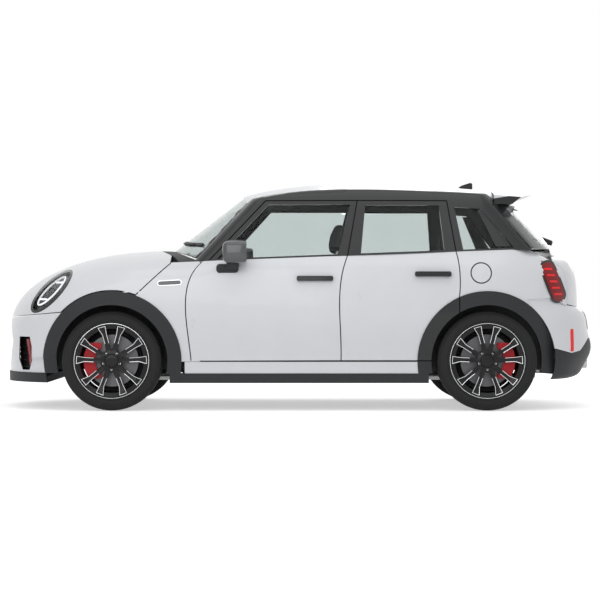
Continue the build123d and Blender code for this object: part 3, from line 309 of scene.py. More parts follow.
class Bench:
    """Hand modelling steps that the sub-assemblies share."""

    @staticmethod
    def clear() -> None:
        """Leave edit mode and deselect everything."""
        if bpy.context.object and bpy.context.object.mode != "OBJECT":
            bpy.ops.object.mode_set(mode="OBJECT")
        bpy.ops.object.select_all(action="DESELECT")

    @staticmethod
    def pick(obj: bpy.types.Object) -> None:
        """Make one object the only selected and active one.

        Args:
            obj: The object.
        """
        Bench.clear()
        obj.select_set(True)
        bpy.context.view_layer.objects.active = obj

    @staticmethod
    def choose(obj: bpy.types.Object, test: Callable[[bpy.types.MeshPolygon], bool]) -> None:
        """Enter edit mode with only the faces that pass a test selected.

        Args:
            obj: The piece.
            test: Says whether a face is wanted.
        """
        Bench.pick(obj)
        bpy.ops.object.mode_set(mode="EDIT")
        bpy.ops.mesh.select_mode(type="FACE")
        bpy.ops.mesh.select_all(action="DESELECT")
        bpy.ops.object.mode_set(mode="OBJECT")
        for face in obj.data.polygons:
            face.select = test(face)
        bpy.ops.object.mode_set(mode="EDIT")

    @staticmethod
    def apply(obj: bpy.types.Object, kind: str, **settings: object) -> None:
        """Add a modifier and apply it.

        Args:
            obj: The piece.
            kind: The modifier's type.
            settings: Its settings.
        """
        Bench.pick(obj)
        modifier = obj.modifiers.new(kind.lower(), kind)
        for key, value in settings.items():
            setattr(modifier, key, value)
        bpy.ops.object.modifier_apply(modifier=modifier.name)

    @staticmethod
    def settle(obj: bpy.types.Object) -> bpy.types.Object:
        """Put a piece's place into its mesh, so that the object sits at the origin.

        Args:
            obj: The piece.

        Returns:
            The same piece.
        """
        Bench.pick(obj)
        bpy.ops.object.transform_apply(location=True, rotation=True, scale=True)
        return obj

    @staticmethod
    def smooth(obj: bpy.types.Object, angle: float = SMOOTH_DEG) -> None:
        """Shade a piece smooth, with sharp edges kept."""
        Bench.pick(obj)
        bpy.ops.object.shade_smooth_by_angle(angle=math.radians(angle))

    @staticmethod
    def outward(obj: bpy.types.Object) -> None:
        """Merge doubles and turn all faces outwards.

        Args:
            obj: The piece.
        """
        Bench.pick(obj)
        bpy.ops.object.mode_set(mode="EDIT")
        bpy.ops.mesh.select_all(action="SELECT")
        bpy.ops.mesh.remove_doubles(threshold=MERGE_M)
        bpy.ops.mesh.normals_make_consistent(inside=False)
        bpy.ops.object.mode_set(mode="OBJECT")

    @staticmethod
    def block(name: str, size: tuple[float, float, float], at: tuple[float, float, float],
              turn: tuple[float, float, float] = (0.0, 0.0, 0.0)) -> bpy.types.Object:
        """A block at its size and place, still to be shaped.

        Args:
            name: The piece's name.
            size: Its extents.
            at: Its centre.
            turn: Its rotation in degrees.

        Returns:
            The new object, settled.
        """
        Bench.clear()
        bpy.ops.mesh.primitive_cube_add(size=1.0, location=at, rotation=[math.radians(a) for a in turn])
        obj = bpy.context.object
        obj.name = name
        obj.scale = size
        return Bench.settle(obj)

    @staticmethod
    def spin(name: str, profile: list[tuple[float, float]], steps: int) -> bpy.types.Object:
        """Turn a profile about the Y axis.

        Args:
            name: The piece's name.
            profile: Radius and place along Y of each point, as a closed outline.
            steps: Segments round the axis.

        Returns:
            The turned object about the origin.
        """
        Bench.clear()
        bpy.ops.mesh.primitive_plane_add(size=0.001, location=(0.0, 0.0, 0.0))
        obj = bpy.context.object
        obj.name = name
        bpy.ops.object.mode_set(mode="EDIT")
        bpy.ops.mesh.select_mode(type="VERT")
        bpy.ops.mesh.select_all(action="SELECT")
        bpy.ops.mesh.merge(type="CENTER")
        bpy.ops.transform.translate(value=(0.0, profile[0][1], profile[0][0]))
        for before, after in zip(profile, profile[1:] + profile[:1]):
            step = (0.0, after[1] - before[1], after[0] - before[0])
            bpy.ops.mesh.extrude_region_move(TRANSFORM_OT_translate={"value": step})
        bpy.ops.mesh.select_all(action="SELECT")
        bpy.ops.mesh.remove_doubles(threshold=MERGE_M)
        bpy.ops.mesh.spin(steps=steps, angle=2.0 * math.pi, center=(0.0, 0.0, 0.0), axis=(0.0, 1.0, 0.0))
        bpy.ops.object.mode_set(mode="OBJECT")
        Bench.outward(obj)
        return obj

    @staticmethod
    def copy(obj: bpy.types.Object, name: str, move: tuple[float, float, float] = (0.0, 0.0, 0.0),
             flip: bool = False) -> bpy.types.Object:
        """A copy with its own mesh, moved and, if asked, mirrored across the car.

        Args:
            obj: What is copied.
            name: The copy's name.
            move: How far it is moved, after the mirroring.
            flip: Whether it is mirrored.

        Returns:
            The copy, settled.
        """
        twin = obj.copy()
        twin.data = obj.data.copy()
        twin.name = name
        twin.data.name = name
        bpy.context.scene.collection.objects.link(twin)
        turn = Matrix.Diagonal((1.0, -1.0, 1.0, 1.0)) if flip else Matrix.Identity(4)
        twin.data.transform(Matrix.Translation(move) @ turn)
        if flip:
            twin.data.flip_normals()
        return twin

    @staticmethod
    def join(objs: list[bpy.types.Object], name: str) -> bpy.types.Object:
        """Join pieces into one.

        Args:
            objs: The pieces.
            name: The joined piece's name.

        Returns:
            The joined piece.
        """
        Bench.clear()
        for obj in objs:
            obj.select_set(True)
        bpy.context.view_layer.objects.active = objs[0]
        bpy.ops.object.join()
        objs[0].name = name
        return objs[0]

    @staticmethod
    def paint(obj: bpy.types.Object, *finishes: Finish) -> None:
        """Give a piece its finishes, in slot order.

        Args:
            obj: The piece.
            finishes: The finishes.
        """
        obj.data.materials.clear()
        for finish in finishes:
            obj.data.materials.append(finish.build())

    @staticmethod
    def mount(obj: bpy.types.Object, body: str, finish: Finish, *nodes: str) -> bpy.types.Object:
        """Fix a finished piece to its body and the nodes that it stands for.

        Args:
            obj: The piece.
            body: The body that it rides on.
            finish: Not used.
            nodes: CAD nodes that it replaces.

        Returns:
            The piece.
        """
        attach(obj, body)
        if nodes:
            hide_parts(*nodes)
        LOG.info("%s rides on %s, %d faces", obj.name, body, len(obj.data.polygons))
        return obj


@dataclass
class Panels:
    """The CAD panels, dressed as smooth skins that stand for their nodes."""

    nodes: dict[str, bpy.types.Object]
    body_of: dict[str, str]
    plan: dict[str, Finish] = field(default_factory=dict)
    mirror_from_y: float = 0.803
    mirror_to_x: float = -0.30
    hatch_black_z: float = 1.072
    spoiler_edge: tuple[float, float, float] = (1.420, 0.0, 1.432)
    spoiler_up: tuple[float, float, float] = (-0.15, 0.0, 1.0)

    def skin(self, node: str, finish: Finish, angle: float = SMOOTH_DEG) -> bpy.types.Object:
        """A merged, smooth-shaded skin of one node.

        Args:
            node: The CAD node.
            finish: Its finish.
            angle: Edges sharper than this stay sharp.

        Returns:
            The skin.
        """
        source = self.nodes[node]
        skin = bpy.data.objects.new(f"{node}_skin", source.data.copy())
        bpy.context.scene.collection.objects.link(skin)
        Bench.pick(skin)
        bpy.ops.object.mode_set(mode="EDIT")
        bpy.ops.mesh.select_all(action="SELECT")
        bpy.ops.mesh.customdata_custom_splitnormals_clear()
        bpy.ops.mesh.remove_doubles(threshold=MERGE_M)
        bpy.ops.object.mode_set(mode="OBJECT")
        Bench.smooth(skin, angle)
        Bench.paint(skin, finish)
        return Bench.mount(skin, self.body_of[node], finish, node)

    def build(self) -> dict[str, bpy.types.Object]:
        """Dress every node in the plan.

        Returns:
            The skins by node name.
        """
        skins = {node: self.skin(node, finish) for node, finish in self.plan.items()}
        for side in SIDES:
            self._drop_plain_mirror(skins[f"front_trim_{side}"])
        self._two_tone(skins["tailgate"], WHITE_PAINT, GLOSS_BLACK, (0.0, 0.0, self.hatch_black_z),
                       (0.0, 0.0, 1.0))
        self._two_tone(skins["roof_spoiler"], GLOSS_BLACK, WHITE_PAINT, self.spoiler_edge, self.spoiler_up)
        return skins

    def _drop_plain_mirror(self, skin: bpy.types.Object) -> None:
        """Take the plain mirror off a door's trim, where the rounded one goes.

        Args:
            skin: The trim's skin.
        """
        Bench.choose(skin, lambda face: abs(face.center.y) > self.mirror_from_y
                     and face.center.x < self.mirror_to_x)
        bpy.ops.mesh.delete(type="FACE")
        bpy.ops.object.mode_set(mode="OBJECT")

    @staticmethod
    def _two_tone(skin: bpy.types.Object, lower: Finish, upper: Finish, point: tuple[float, float, float],
                  normal: tuple[float, float, float]) -> None:
        """Paint a skin in two finishes, parted at a plane.

        Args:
            skin: The skin.
            lower: The finish below the plane.
            upper: The finish above the plane.
            point: A point of the plane.
            normal: The plane's upward normal.
        """
        Bench.pick(skin)
        bpy.ops.object.mode_set(mode="EDIT")
        bpy.ops.mesh.select_mode(type="FACE")
        bpy.ops.mesh.select_all(action="SELECT")
        bpy.ops.mesh.bisect(plane_co=point, plane_no=normal)
        bpy.ops.object.mode_set(mode="OBJECT")
        Bench.paint(skin, lower, upper)
        for face in skin.data.polygons:
            face.material_index = 1 if (face.center - Vector(point)).dot(Vector(normal)) > 0.0 else 0


@dataclass
class WheelSet:
    """Tyres, rims and their small parts, modelled once and set at the four corners."""

    track_y: float = 0.737
    spoke_pairs: int = 5
    spoke_split: float = 15.0
    spoke_flare_z: float = 0.178
    spoke_root_z: float = 0.118
    edge_width: float = 0.0034
    edge_height: float = 0.003
    bolt_circle: float = 0.056
    steps: int = 160
    block_pitch: int = 4
    block_reach: float = 0.3265
    block_span: tuple[float, float] = (0.023, 0.08)
    block_depth: float = 0.005

    def tyre(self) -> bpy.types.Object:
        """A low-profile tyre with a bulged wall, ribs, grooves and cut blocks.

        Returns:
            The tyre about the origin.
        """
        wall = [(0.2262, 0.0955), (0.2488, 0.0975), (0.2488, 0.1050), (0.2560, 0.1085), (0.2600, 0.1065),
                (0.2640, 0.1100), (0.2760, 0.1118), (0.2920, 0.1105), (0.3040, 0.1060), (0.3130, 0.1000),
                (0.3155, 0.0955), (0.3200, 0.0950), (0.3250, 0.0880), (0.3278, 0.0800)]
        ribs = [(0.3286, 0.0620), (0.3215, 0.0605), (0.3215, 0.0525), (0.3288, 0.0510), (0.3290, 0.0230),
                (0.3215, 0.0215), (0.3215, 0.0135), (0.3290, 0.0120)]
        half = wall + ribs
        profile = [(r, -y) for r, y in half] + [(r, y) for r, y in reversed(half)]
        tyre = Bench.spin("tyre_master", profile, self.steps)
        self._cut_blocks(tyre)
        Bench.smooth(tyre, 40.0)
        Bench.paint(tyre, TYRE_RUBBER)
        return tyre

    def _cut_blocks(self, tyre: bpy.types.Object) -> None:
        """Sink every fourth segment of the outer ribs to make the tread blocks.

        Args:
            tyre: The turned tyre.
        """

        def in_gap(face: bpy.types.MeshPolygon) -> bool:
            """Whether a face lies in a gap between two blocks.

            Args:
                face: A face of the tyre.

            Returns:
                True in a gap.
            """
            reach = math.hypot(face.center.x, face.center.z)
            turn = math.degrees(math.atan2(face.center.x, face.center.z)) % 360.0
            segment = int(turn / 360.0 * self.steps) + (self.block_pitch // 2 if face.center.y > 0 else 0)
            on_rib = reach > self.block_reach and abs(face.normal.y) < 0.3
            inner, outer = self.block_span
            return on_rib and segment % self.block_pitch == 0 and inner < abs(face.center.y) < outer

        Bench.choose(tyre, in_gap)
        bpy.ops.mesh.extrude_region_shrink_fatten(TRANSFORM_OT_shrink_fatten={"value": -self.block_depth})
        bpy.ops.object.mode_set(mode="OBJECT")

    def barrel(self) -> bpy.types.Object:
        """The rim's barrel with its flanges.

        Returns:
            The barrel about the origin.
        """
        profile = [(0.2475, -0.1060), (0.2475, -0.0995), (0.2256, -0.0968), (0.2256, 0.0968),
                   (0.2475, 0.0988), (0.2475, 0.1055), (0.2150, 0.1055), (0.2070, 0.0600),
                   (0.2045, -0.0600), (0.2120, -0.0900), (0.2300, -0.1000), (0.2360, -0.1060)]
        return Bench.spin("barrel_master", profile, 96)

    def lip(self) -> bpy.types.Object:
        """The bright turned edge of the rim.

        Returns:
            The lip about the origin.
        """
        profile = [(0.2475, -0.1058), (0.2475, -0.1076), (0.2452, -0.1078), (0.2448, -0.1058)]
        return Bench.spin("rim_lip", profile, 120)

    def spoke(self, turn: float, side: float) -> bpy.types.Object:
        """One spoke, waisted, with a sunk black face inside machined edges.

        Args:
            turn: Its angle round the hub in degrees.
            side: Which side of its pair it is on.

        Returns:
            The spoke about the origin.
        """
        arm = Bench.block("spoke", (0.030, 0.034, 0.172), (0.0, -0.080, 0.146))
        Bench.pick(arm)
        bpy.ops.object.mode_set(mode="EDIT")
        bpy.ops.mesh.select_mode(type="FACE")
        for level in (self.spoke_flare_z, self.spoke_root_z):
            bpy.ops.mesh.select_all(action="SELECT")
            bpy.ops.mesh.bisect(plane_co=(0.0, 0.0, level), plane_no=(0.0, 0.0, 1.0))
        bpy.ops.object.mode_set(mode="OBJECT")
        for vertex in arm.data.vertices:
            flare = max(0.0, (vertex.co.z - self.spoke_flare_z) / 0.054)
            root = max(0.0, (self.spoke_root_z - vertex.co.z) / 0.058)
            vertex.co.x *= 1.0 + 0.75 * flare + 0.15 * root
            vertex.co.x += side * 0.006 * flare
            if vertex.co.y < -0.09:
                vertex.co.y -= 0.008 * flare - 0.004 * root
            else:
                vertex.co.x *= 0.75
        self._machine_edges(arm)
        Bench.apply(arm, "BEVEL", width=0.0016, segments=2, limit_method="ANGLE",
                    angle_limit=math.radians(40.0))
        arm.data.transform(Matrix.Rotation(math.radians(turn), 4, "Y"))
        return arm

    def _machine_edges(self, arm: bpy.types.Object) -> None:
        """Sink the spoke's face and leave a bright border round it.

        Args:
            arm: The spoke, before it is turned to its place.
        """
        arm.data.materials.append(RIM_BLACK.build())
        arm.data.materials.append(RIM_BRIGHT.build())
        Bench.choose(arm, lambda face: face.normal.y < -0.7)
        bpy.ops.mesh.inset(thickness=self.edge_width, depth=0.0)
        bpy.ops.transform.translate(value=(0.0, self.edge_height, 0.0))
        bpy.ops.object.mode_set(mode="OBJECT")
        for face in arm.data.polygons:
            bright = face.normal.y < -0.4 and not face.select and face.center.z > 0.112
            face.material_index = 1 if bright else 0

    def hub(self) -> bpy.types.Object:
        """The rim's centre, with a plain cap.

        Returns:
            The hub about the origin.
        """
        profile = [(0.0004, -0.0975), (0.0300, -0.0985), (0.0380, -0.0970), (0.0400, -0.0930),
                   (0.0440, -0.0930), (0.0470, -0.0955), (0.0520, -0.0935), (0.0720, -0.0905),
                   (0.0755, -0.0870), (0.0755, -0.0460), (0.0004, -0.0460)]
        return Bench.spin("hub", profile, 80)

    def bolt(self, turn: float) -> bpy.types.Object:
        """A wheel bolt with a hollow hexagon head.

        Args:
            turn: Its angle round the hub in radians.

        Returns:
            The bolt about the origin.
        """
        Bench.clear()
        spot = Vector((self.bolt_circle * math.sin(turn), -0.0915, self.bolt_circle * math.cos(turn)))
        bpy.ops.mesh.primitive_cylinder_add(vertices=6, radius=0.0085, depth=0.012, location=spot,
                                            rotation=(math.pi / 2.0, 0.0, 0.0))
        head = Bench.settle(bpy.context.object)
        Bench.choose(head, lambda face: face.normal.y < -0.9)
        bpy.ops.mesh.inset(thickness=0.0025, depth=-0.005)
        bpy.ops.object.mode_set(mode="OBJECT")
        return head

    def rim(self) -> bpy.types.Object:
        """The whole rim: barrel, paired spokes, hub, bolts and lip.

        Returns:
            The rim about the origin.
        """
        black = [self.barrel(), self.hub()]
        for part in black:
            Bench.paint(part, RIM_BLACK, RIM_BRIGHT)
        bright = [self.lip()]
        bright += [self.bolt(2.0 * math.pi * (i + 0.5) / self.spoke_pairs) for i in range(self.spoke_pairs)]
        for part in bright:
            Bench.paint(part, RIM_BLACK, RIM_BRIGHT)
            for face in part.data.polygons:
                face.material_index = 1
        arms = []
        for pair in range(self.spoke_pairs):
            for side in (-1.0, 1.0):
                arms.append(self.spoke(360.0 / self.spoke_pairs * pair + side * self.spoke_split, side))
        rim = Bench.join(black + bright + arms, "rim_master")
        Bench.smooth(rim, 35.0)
        return rim

    def shield(self) -> bpy.types.Object:
        """The pressed dust shield behind a brake disc.

        Returns:
            The shield about the wheel's middle.
        """
        profile = [(0.0700, 0.1000), (0.0720, 0.0960), (0.1500, 0.0960), (0.1560, 0.0930), (0.2020, 0.0930),
                   (0.2040, 0.0900), (0.2055, 0.0905), (0.2040, 0.0945), (0.1565, 0.0945), (0.1500, 0.0975),
                   (0.0735, 0.0975), (0.0715, 0.1005)]
        shield = Bench.spin("shield_master", profile, 72)
        Bench.smooth(shield, 35.0)
        Bench.paint(shield, SEALED)
        return shield

    def _shield_places(self) -> dict[str, tuple[tuple[float, float, float], bool, str]]:
        """Where the four shields sit, and what carries them.

        Returns:
            Place, whether it is mirrored, and body, by corner.
        """
        places = {}
        for side, sign in SIDES.items():
            for end, body in (("front", f"knuckle_{side}"), ("rear", "body")):
                places[f"{end}_{side}"] = ((AXLE_X[end], sign * self.track_y, HUB_Z), sign > 0, body)
        return places

    def build(self) -> None:
        """Set the tyre, rim and dust shield at the four corners."""
        tyre = self.tyre()
        rim = self.rim()
        for end, axle_x in AXLE_X.items():
            for side, sign in SIDES.items():
                corner = f"{end}_{side}"
                spot = (axle_x, sign * self.track_y, HUB_Z)
                flip = sign > 0
                for master, stem, finish, node in ((tyre, "tyre_tread", TYRE_RUBBER, "tyre"),
                                                   (rim, "rim_spokes", RIM_BLACK, "rim")):
                    part = Bench.copy(master, f"{stem}_{corner}", spot, flip)
                    Bench.mount(part, f"wheel_{corner}", finish, f"{node}_{corner}")
        shield = self.shield()
        for corner, (spot, flip, body) in self._shield_places().items():
            Bench.mount(Bench.copy(shield, f"dust_shield_{corner}", spot, flip), body, SEALED)
        for master in (tyre, rim, shield):
            bpy.data.objects.remove(master)


@dataclass
class SurfaceTrim:
    """Flat trim laid onto the body's own surface and given its thickness there."""

    nodes: dict[str, bpy.types.Object]
    plate_rows: int = 4
    rays: int = 24
    far_y: float = -1.2
    near_y: float = -0.3
    lamp_middle: tuple[float, float] = (1.68, 0.85)

    def backing(self, name: str, *members: str) -> bpy.types.Object:
        """One surface joined from copies of several nodes, to lay trim on.

        Args:
            name: Its name.
            members: The nodes.

        Returns:
            The joined surface, to be removed after use.
        """
        copies = []
        for member in members:
            part = bpy.data.objects.new(f"{name}_{member}", self.nodes[member].data.copy())
            bpy.context.scene.collection.objects.link(part)
            copies.append(part)
        return Bench.join(copies, name)

    def quad(self, name: str, corners: list[tuple[float, float]], cuts: int = 10) -> bpy.types.Object:
        """A flat four-sided patch beside the car's left flank.

        Args:
            name: Its name.
            corners: Its corners as X and Z, in order round it.
            cuts: How finely it is divided.

        Returns:
            The flat patch.
        """
        Bench.clear()
        bpy.ops.mesh.primitive_plane_add(size=1.0)
        patch = bpy.context.object
        patch.name = name
        order = list(patch.data.polygons[0].vertices)
        for index, (x, z) in zip(order, corners):
            patch.data.vertices[index].co = (x, BESIDE_Y, z)
        bpy.ops.object.mode_set(mode="EDIT")
        bpy.ops.mesh.select_all(action="SELECT")
        bpy.ops.mesh.subdivide(number_cuts=cuts)
        bpy.ops.object.mode_set(mode="OBJECT")
        return patch

    def lay(self, patch: bpy.types.Object, node: str | bpy.types.Object, axis: str, lift: float,
            thick: float) -> bpy.types.Object:
        """Project a flat patch on a surface and thicken it outwards.

        Args:
            patch: The flat patch, in front of the surface.
            node: The CAD node, or a joined surface, that it is laid on.
            axis: The axis along which it is projected, with its sign, such as "+Y".
            lift: How far off the surface it lies.
            thick: Its thickness.

        Returns:
            The finished trim piece.
        """
        positive = axis[0] == "+"
        target = self.nodes[node] if isinstance(node, str) else node
        Bench.apply(patch, "SHRINKWRAP", target=target, wrap_method="PROJECT",
                    use_project_x=axis[1] == "X", use_project_y=axis[1] == "Y", use_project_z=axis[1] == "Z",
                    use_positive_direction=positive, use_negative_direction=not positive, offset=lift)
        return self._thicken(patch, thick)

    @staticmethod
    def _thicken(patch: bpy.types.Object, thick: float) -> bpy.types.Object:
        """Give a laid patch its thickness and shade it.

        Args:
            patch: The laid patch.
            thick: Its thickness.

        Returns:
            The finished trim piece.
        """
        Bench.apply(patch, "SOLIDIFY", thickness=thick, offset=0.0)
        Bench.outward(patch)
        Bench.smooth(patch, TRIM_SMOOTH_DEG)
        return patch

    def sweep_over(self, node: str, low: tuple[float, float], high: tuple[float, float]) -> np.ndarray:
        """A smooth surface through the left outside of a node, as the terms of a quadratic in X and Z.

        Args:
            node: The CAD node.
            low: The least X and Z of the area that is looked at.
            high: The greatest X and Z of that area.

        Returns:
            The six terms that give Y.
        """
        mesh = self.nodes[node].data
        tree = BVHTree.FromPolygons([v.co for v in mesh.vertices], [tuple(f.vertices) for f in mesh.polygons])
        rows, depths = [], []
        for x in np.linspace(low[0], high[0], self.rays):
            for z in np.linspace(low[1], high[1], self.rays):
                spot = tree.ray_cast(Vector((x, self.far_y, z)), Vector((0.0, 1.0, 0.0)))[0]
                if spot and spot.y < self.near_y:
                    rows.append(self._terms(x, z))
                    depths.append(spot.y)
        return np.linalg.lstsq(np.array(rows), np.array(depths), rcond=None)[0]

    def _terms(self, x: float, z: float) -> list[float]:
        """The terms of a quadratic in X and Z, about the tail lamp."""
        u, w = x - self.lamp_middle[0], z - self.lamp_middle[1]
        return [1.0, u, w, u * u, u * w, w * w]

    def lay_over(self, patch: bpy.types.Object, surface: np.ndarray, lift: float,
                 thick: float) -> bpy.types.Object:
        """Set a flat patch on a smooth surface and thicken it outwards.

        Args:
            patch: The flat patch.
            surface: The surface's six terms.
            lift: How far off the surface it lies.
            thick: Its thickness.

        Returns:
            The finished trim piece.
        """
        for vertex in patch.data.vertices:
            vertex.co.y = float(np.dot(surface, self._terms(vertex.co.x, vertex.co.z))) - lift
        return self._thicken(patch, thick)

    def oval_ring(self, name: str, at: tuple[float, float, float], axes: tuple[float, float], turn: float,
                  width: float) -> bpy.types.Object:
        """A flat oval ring seen from the side of the car.

        Args:
            name: Its name.
            at: Its centre.
            axes: Its long and short half axes.
            turn: Its tilt in degrees.
            width: The ring's width.

        Returns:
            The flat ring.
        """
        Bench.clear()
        bpy.ops.mesh.primitive_circle_add(vertices=72, radius=1.0, fill_type="NGON",
                                          rotation=(math.pi / 2.0, 0.0, 0.0))
        ring = bpy.context.object
        ring.name = name
        Bench.settle(ring)
        ring.data.transform(Matrix.Diagonal((axes[0], 1.0, axes[1], 1.0)))
        Bench.pick(ring)
        bpy.ops.object.mode_set(mode="EDIT")
        bpy.ops.mesh.select_all(action="SELECT")
        bpy.ops.mesh.inset(thickness=width, depth=0.0)
        bpy.ops.mesh.delete(type="FACE")
        bpy.ops.object.mode_set(mode="OBJECT")
        ring.data.transform(Matrix.Translation(at) @ Matrix.Rotation(math.radians(-turn), 4, "Y"))
        return ring

    def plate(self, name: str, size: tuple[float, float], at: tuple[float, float, float],
              turn: tuple[float, float, float], cuts: int = 10, corner: float = 0.3) -> bpy.types.Object:
        """A flat rounded plate, fine enough to follow a curved surface.

        Args:
            name: Its name.
            size: Its length and height.
            at: Its centre.
            turn: Its rotation in degrees from lying flat.
            cuts: How finely it is divided.
            corner: How round its corners are, as a share of the shorter side.

        Returns:
            The flat plate.
        """
        Bench.clear()
        bpy.ops.mesh.primitive_plane_add(size=1.0)
        plate = bpy.context.object
        plate.name = name
        plate.scale = (size[0], size[1], 1.0)
        Bench.settle(plate)
        bpy.ops.object.mode_set(mode="EDIT")
        bpy.ops.mesh.select_mode(type="VERT")
        bpy.ops.mesh.select_all(action="SELECT")
        bpy.ops.mesh.bevel(offset=corner * min(size), segments=5, affect="VERTICES")
        for axis, count in ((0, cuts), (1, self.plate_rows)):
            for i in range(1, count):
                place, normal = [0.0, 0.0, 0.0], [0.0, 0.0, 0.0]
                place[axis] = (-0.5 + i / count) * size[axis]
                normal[axis] = 1.0
                bpy.ops.mesh.select_all(action="SELECT")
                bpy.ops.mesh.bisect(plane_co=place, plane_no=normal)
        bpy.ops.object.mode_set(mode="OBJECT")
        plate.location = at
        plate.rotation_euler = [math.radians(a) for a in turn]
        return Bench.settle(plate)


@dataclass
class Lamps:
    """What shows inside the head lamps and on the tail lamps."""

    trim: SurfaceTrim
    head: tuple[float, float, float] = (-1.662, BESIDE_Y, 0.790)
    head_turn: float = 47.0
    ring_axes: tuple[float, float] = (0.130, 0.040)
    tail: tuple[float, float, float] = (1.682, BESIDE_Y, 0.853)
    tail_lean: float = 67.6
    duct: tuple[float, float, float] = (-1.8335, -0.6125, 0.372)
    duct_heading: float = -56.4
    strip: tuple[float, float, float] = (-1.804, -0.622, 0.380)

    def both(self, piece: bpy.types.Object, stem: str, body: str, finish: Finish) -> None:
        """Finish a left-hand piece and its mirrored twin.

        Args:
            piece: The left-hand piece.
            stem: The name without its side.
            body: The body that both ride on.
            finish: Their finish.
        """
        piece.name = f"{stem}_left"
        Bench.paint(piece, finish)
        twin = Bench.copy(piece, f"{stem}_right", flip=True)
        for obj in (piece, twin):
            Bench.mount(obj, body, finish)

    def headlamps(self) -> None:
        """Light ring, cross bars and projector in each head lamp."""
        ring = self.trim.oval_ring("lamp_ring", self.head, self.ring_axes, self.head_turn, 0.011)
        self.trim.lay(ring, "headlamp_bezels", "+Y", 0.006, 0.004)
        self.both(ring, "lamp_ring", "bonnet", LAMP_LIGHT)
        for i, shift in enumerate((-0.076, 0.076)):
            spot = (self.head[0] + shift * math.cos(math.radians(self.head_turn)), BESIDE_Y,
                    self.head[2] + shift * math.sin(math.radians(self.head_turn)))
            bar = self.trim.plate(f"lamp_bar_{i}", (0.062, 0.012), spot, (90.0, 0.0, 0.0), 6)
            self.trim.lay(bar, "headlamp_bezels", "+Y", 0.005, 0.003)
            self.both(bar, f"lamp_bar_{i}", "bonnet", LAMP_LIGHT)
        eye = self.trim.oval_ring("lamp_eye", self.head, (0.030, 0.024), self.head_turn, 0.006)
        self.trim.lay(eye, "headlamp_bezels", "+Y", 0.005, 0.006)
        self.both(eye, "lamp_eye", "bonnet", LAMP_BOWL)

    def tail_lamps(self) -> None:
        """A dark rim, a red cover and lit bars on each tail lamp."""
        surface = self.trim.sweep_over("tail_lamps", (1.60, 0.71), (1.77, 1.00))
        for stem, size, lift, finish in (("tail_rim", (0.296, 0.120), 0.002, GLOSS_BLACK),
                                         ("tail_cover", (0.266, 0.092), 0.005, LAMP_RED)):
            plate = self.trim.plate(stem, size, self.tail, (90.0, self.tail_lean, 0.0), 14, 0.42)
            self.trim.lay_over(plate, surface, lift, 0.004)
            self.both(plate, stem, "body", finish)
        fall = math.radians(self.tail_lean)
        for i in range(5):
            along = 0.180 * (i / 4.0 - 0.5)
            spot = (self.tail[0] + along * math.cos(fall), BESIDE_Y, self.tail[2] - along * math.sin(fall))
            bar = self.trim.plate(f"tail_bar_{i}", (0.058, 0.014), spot, (90.0, 0.0, 0.0), 6)
            self.trim.lay_over(bar, surface, 0.0075, 0.003)
            self.both(bar, f"tail_bar_{i}", "body", RED_LIT_LAMP_AND_PAINTED_GLOW)

    def side_lamps(self) -> None:
        """Slim bright-rimmed indicators behind the front arches."""
        for stem, size, lift, finish in (("side_lamp_rim", (0.158, 0.034), 0.001, RIM_BRIGHT),
                                         ("side_lamp", (0.150, 0.026), 0.003, LAMP_BOWL)):
            plate = self.trim.plate(stem, size, (-0.858, BESIDE_Y, 0.843), (90.0, -3.0, 0.0), 10, 0.48)
            self.trim.lay(plate, "front_wings", "+Y", lift, 0.003)
            self.both(plate, stem, "body", finish)

    def front_ducts(self) -> None:
        """Dark slatted inserts with a red strip in the corner ducts of the front bumper."""
        turn = (0.0, 0.0, self.duct_heading)
        heading = math.radians(self.duct_heading)
        run = Vector((math.cos(heading), math.sin(heading), 0.0))
        inward = Vector((-math.sin(heading), math.cos(heading), 0.0))
        middle = Vector(self.duct) + 0.055 * inward - 0.065 * run
        parts = [Bench.block("duct_back", (0.250, 0.010, 0.236), middle, turn)]
        for i in range(5):
            level = Vector((0.0, 0.0, 0.045 * (i - 2)))
            spot = middle - 0.010 * inward + level
            parts.append(Bench.block(f"duct_slat_{i}", (0.230, 0.022, 0.008), spot, turn))
        insert = Bench.join(parts, "duct_insert")
        Bench.apply(insert, "BEVEL", width=0.002, segments=2, limit_method="ANGLE")
        Bench.smooth(insert, TRIM_SMOOTH_DEG)
        self.both(insert, "duct_insert", "body", GRAIN_BLACK)
        strip = Bench.block("duct_strip", (0.050, 0.014, 0.185), self.strip, (8.0, 0.0, self.duct_heading))
        Bench.apply(strip, "BEVEL", width=0.006, segments=3, limit_method="NONE")
        Bench.smooth(strip, TRIM_SMOOTH_DEG)
        self.both(strip, "duct_strip", "body", LAMP_RED)

    def reflectors(self) -> None:
        """Upright red reflectors at the corners of the rear bumper, given the tail lamp bars' glowing finish:
        a painted glow, as a reflector is no lamp.
        """
        spot = (1.815, BESIDE_Y, 0.462)
        rear = self.trim.plate("rear_reflector", (0.022, 0.150), spot, (90.0, 0.0, 0.0), 4)
        self.trim.lay(rear, "rear_bumper", "+Y", 0.001, 0.004)
        # The reflector takes the glowing red finish: a painted glow, since it is no lamp.
        self.both(rear, "rear_reflector", "body", RED_LIT_LAMP_AND_PAINTED_GLOW)

    def build(self) -> None:
        """Make all lamp details."""
        self.headlamps()
        self.tail_lamps()
        self.side_lamps()
        self.front_ducts()
        self.reflectors()


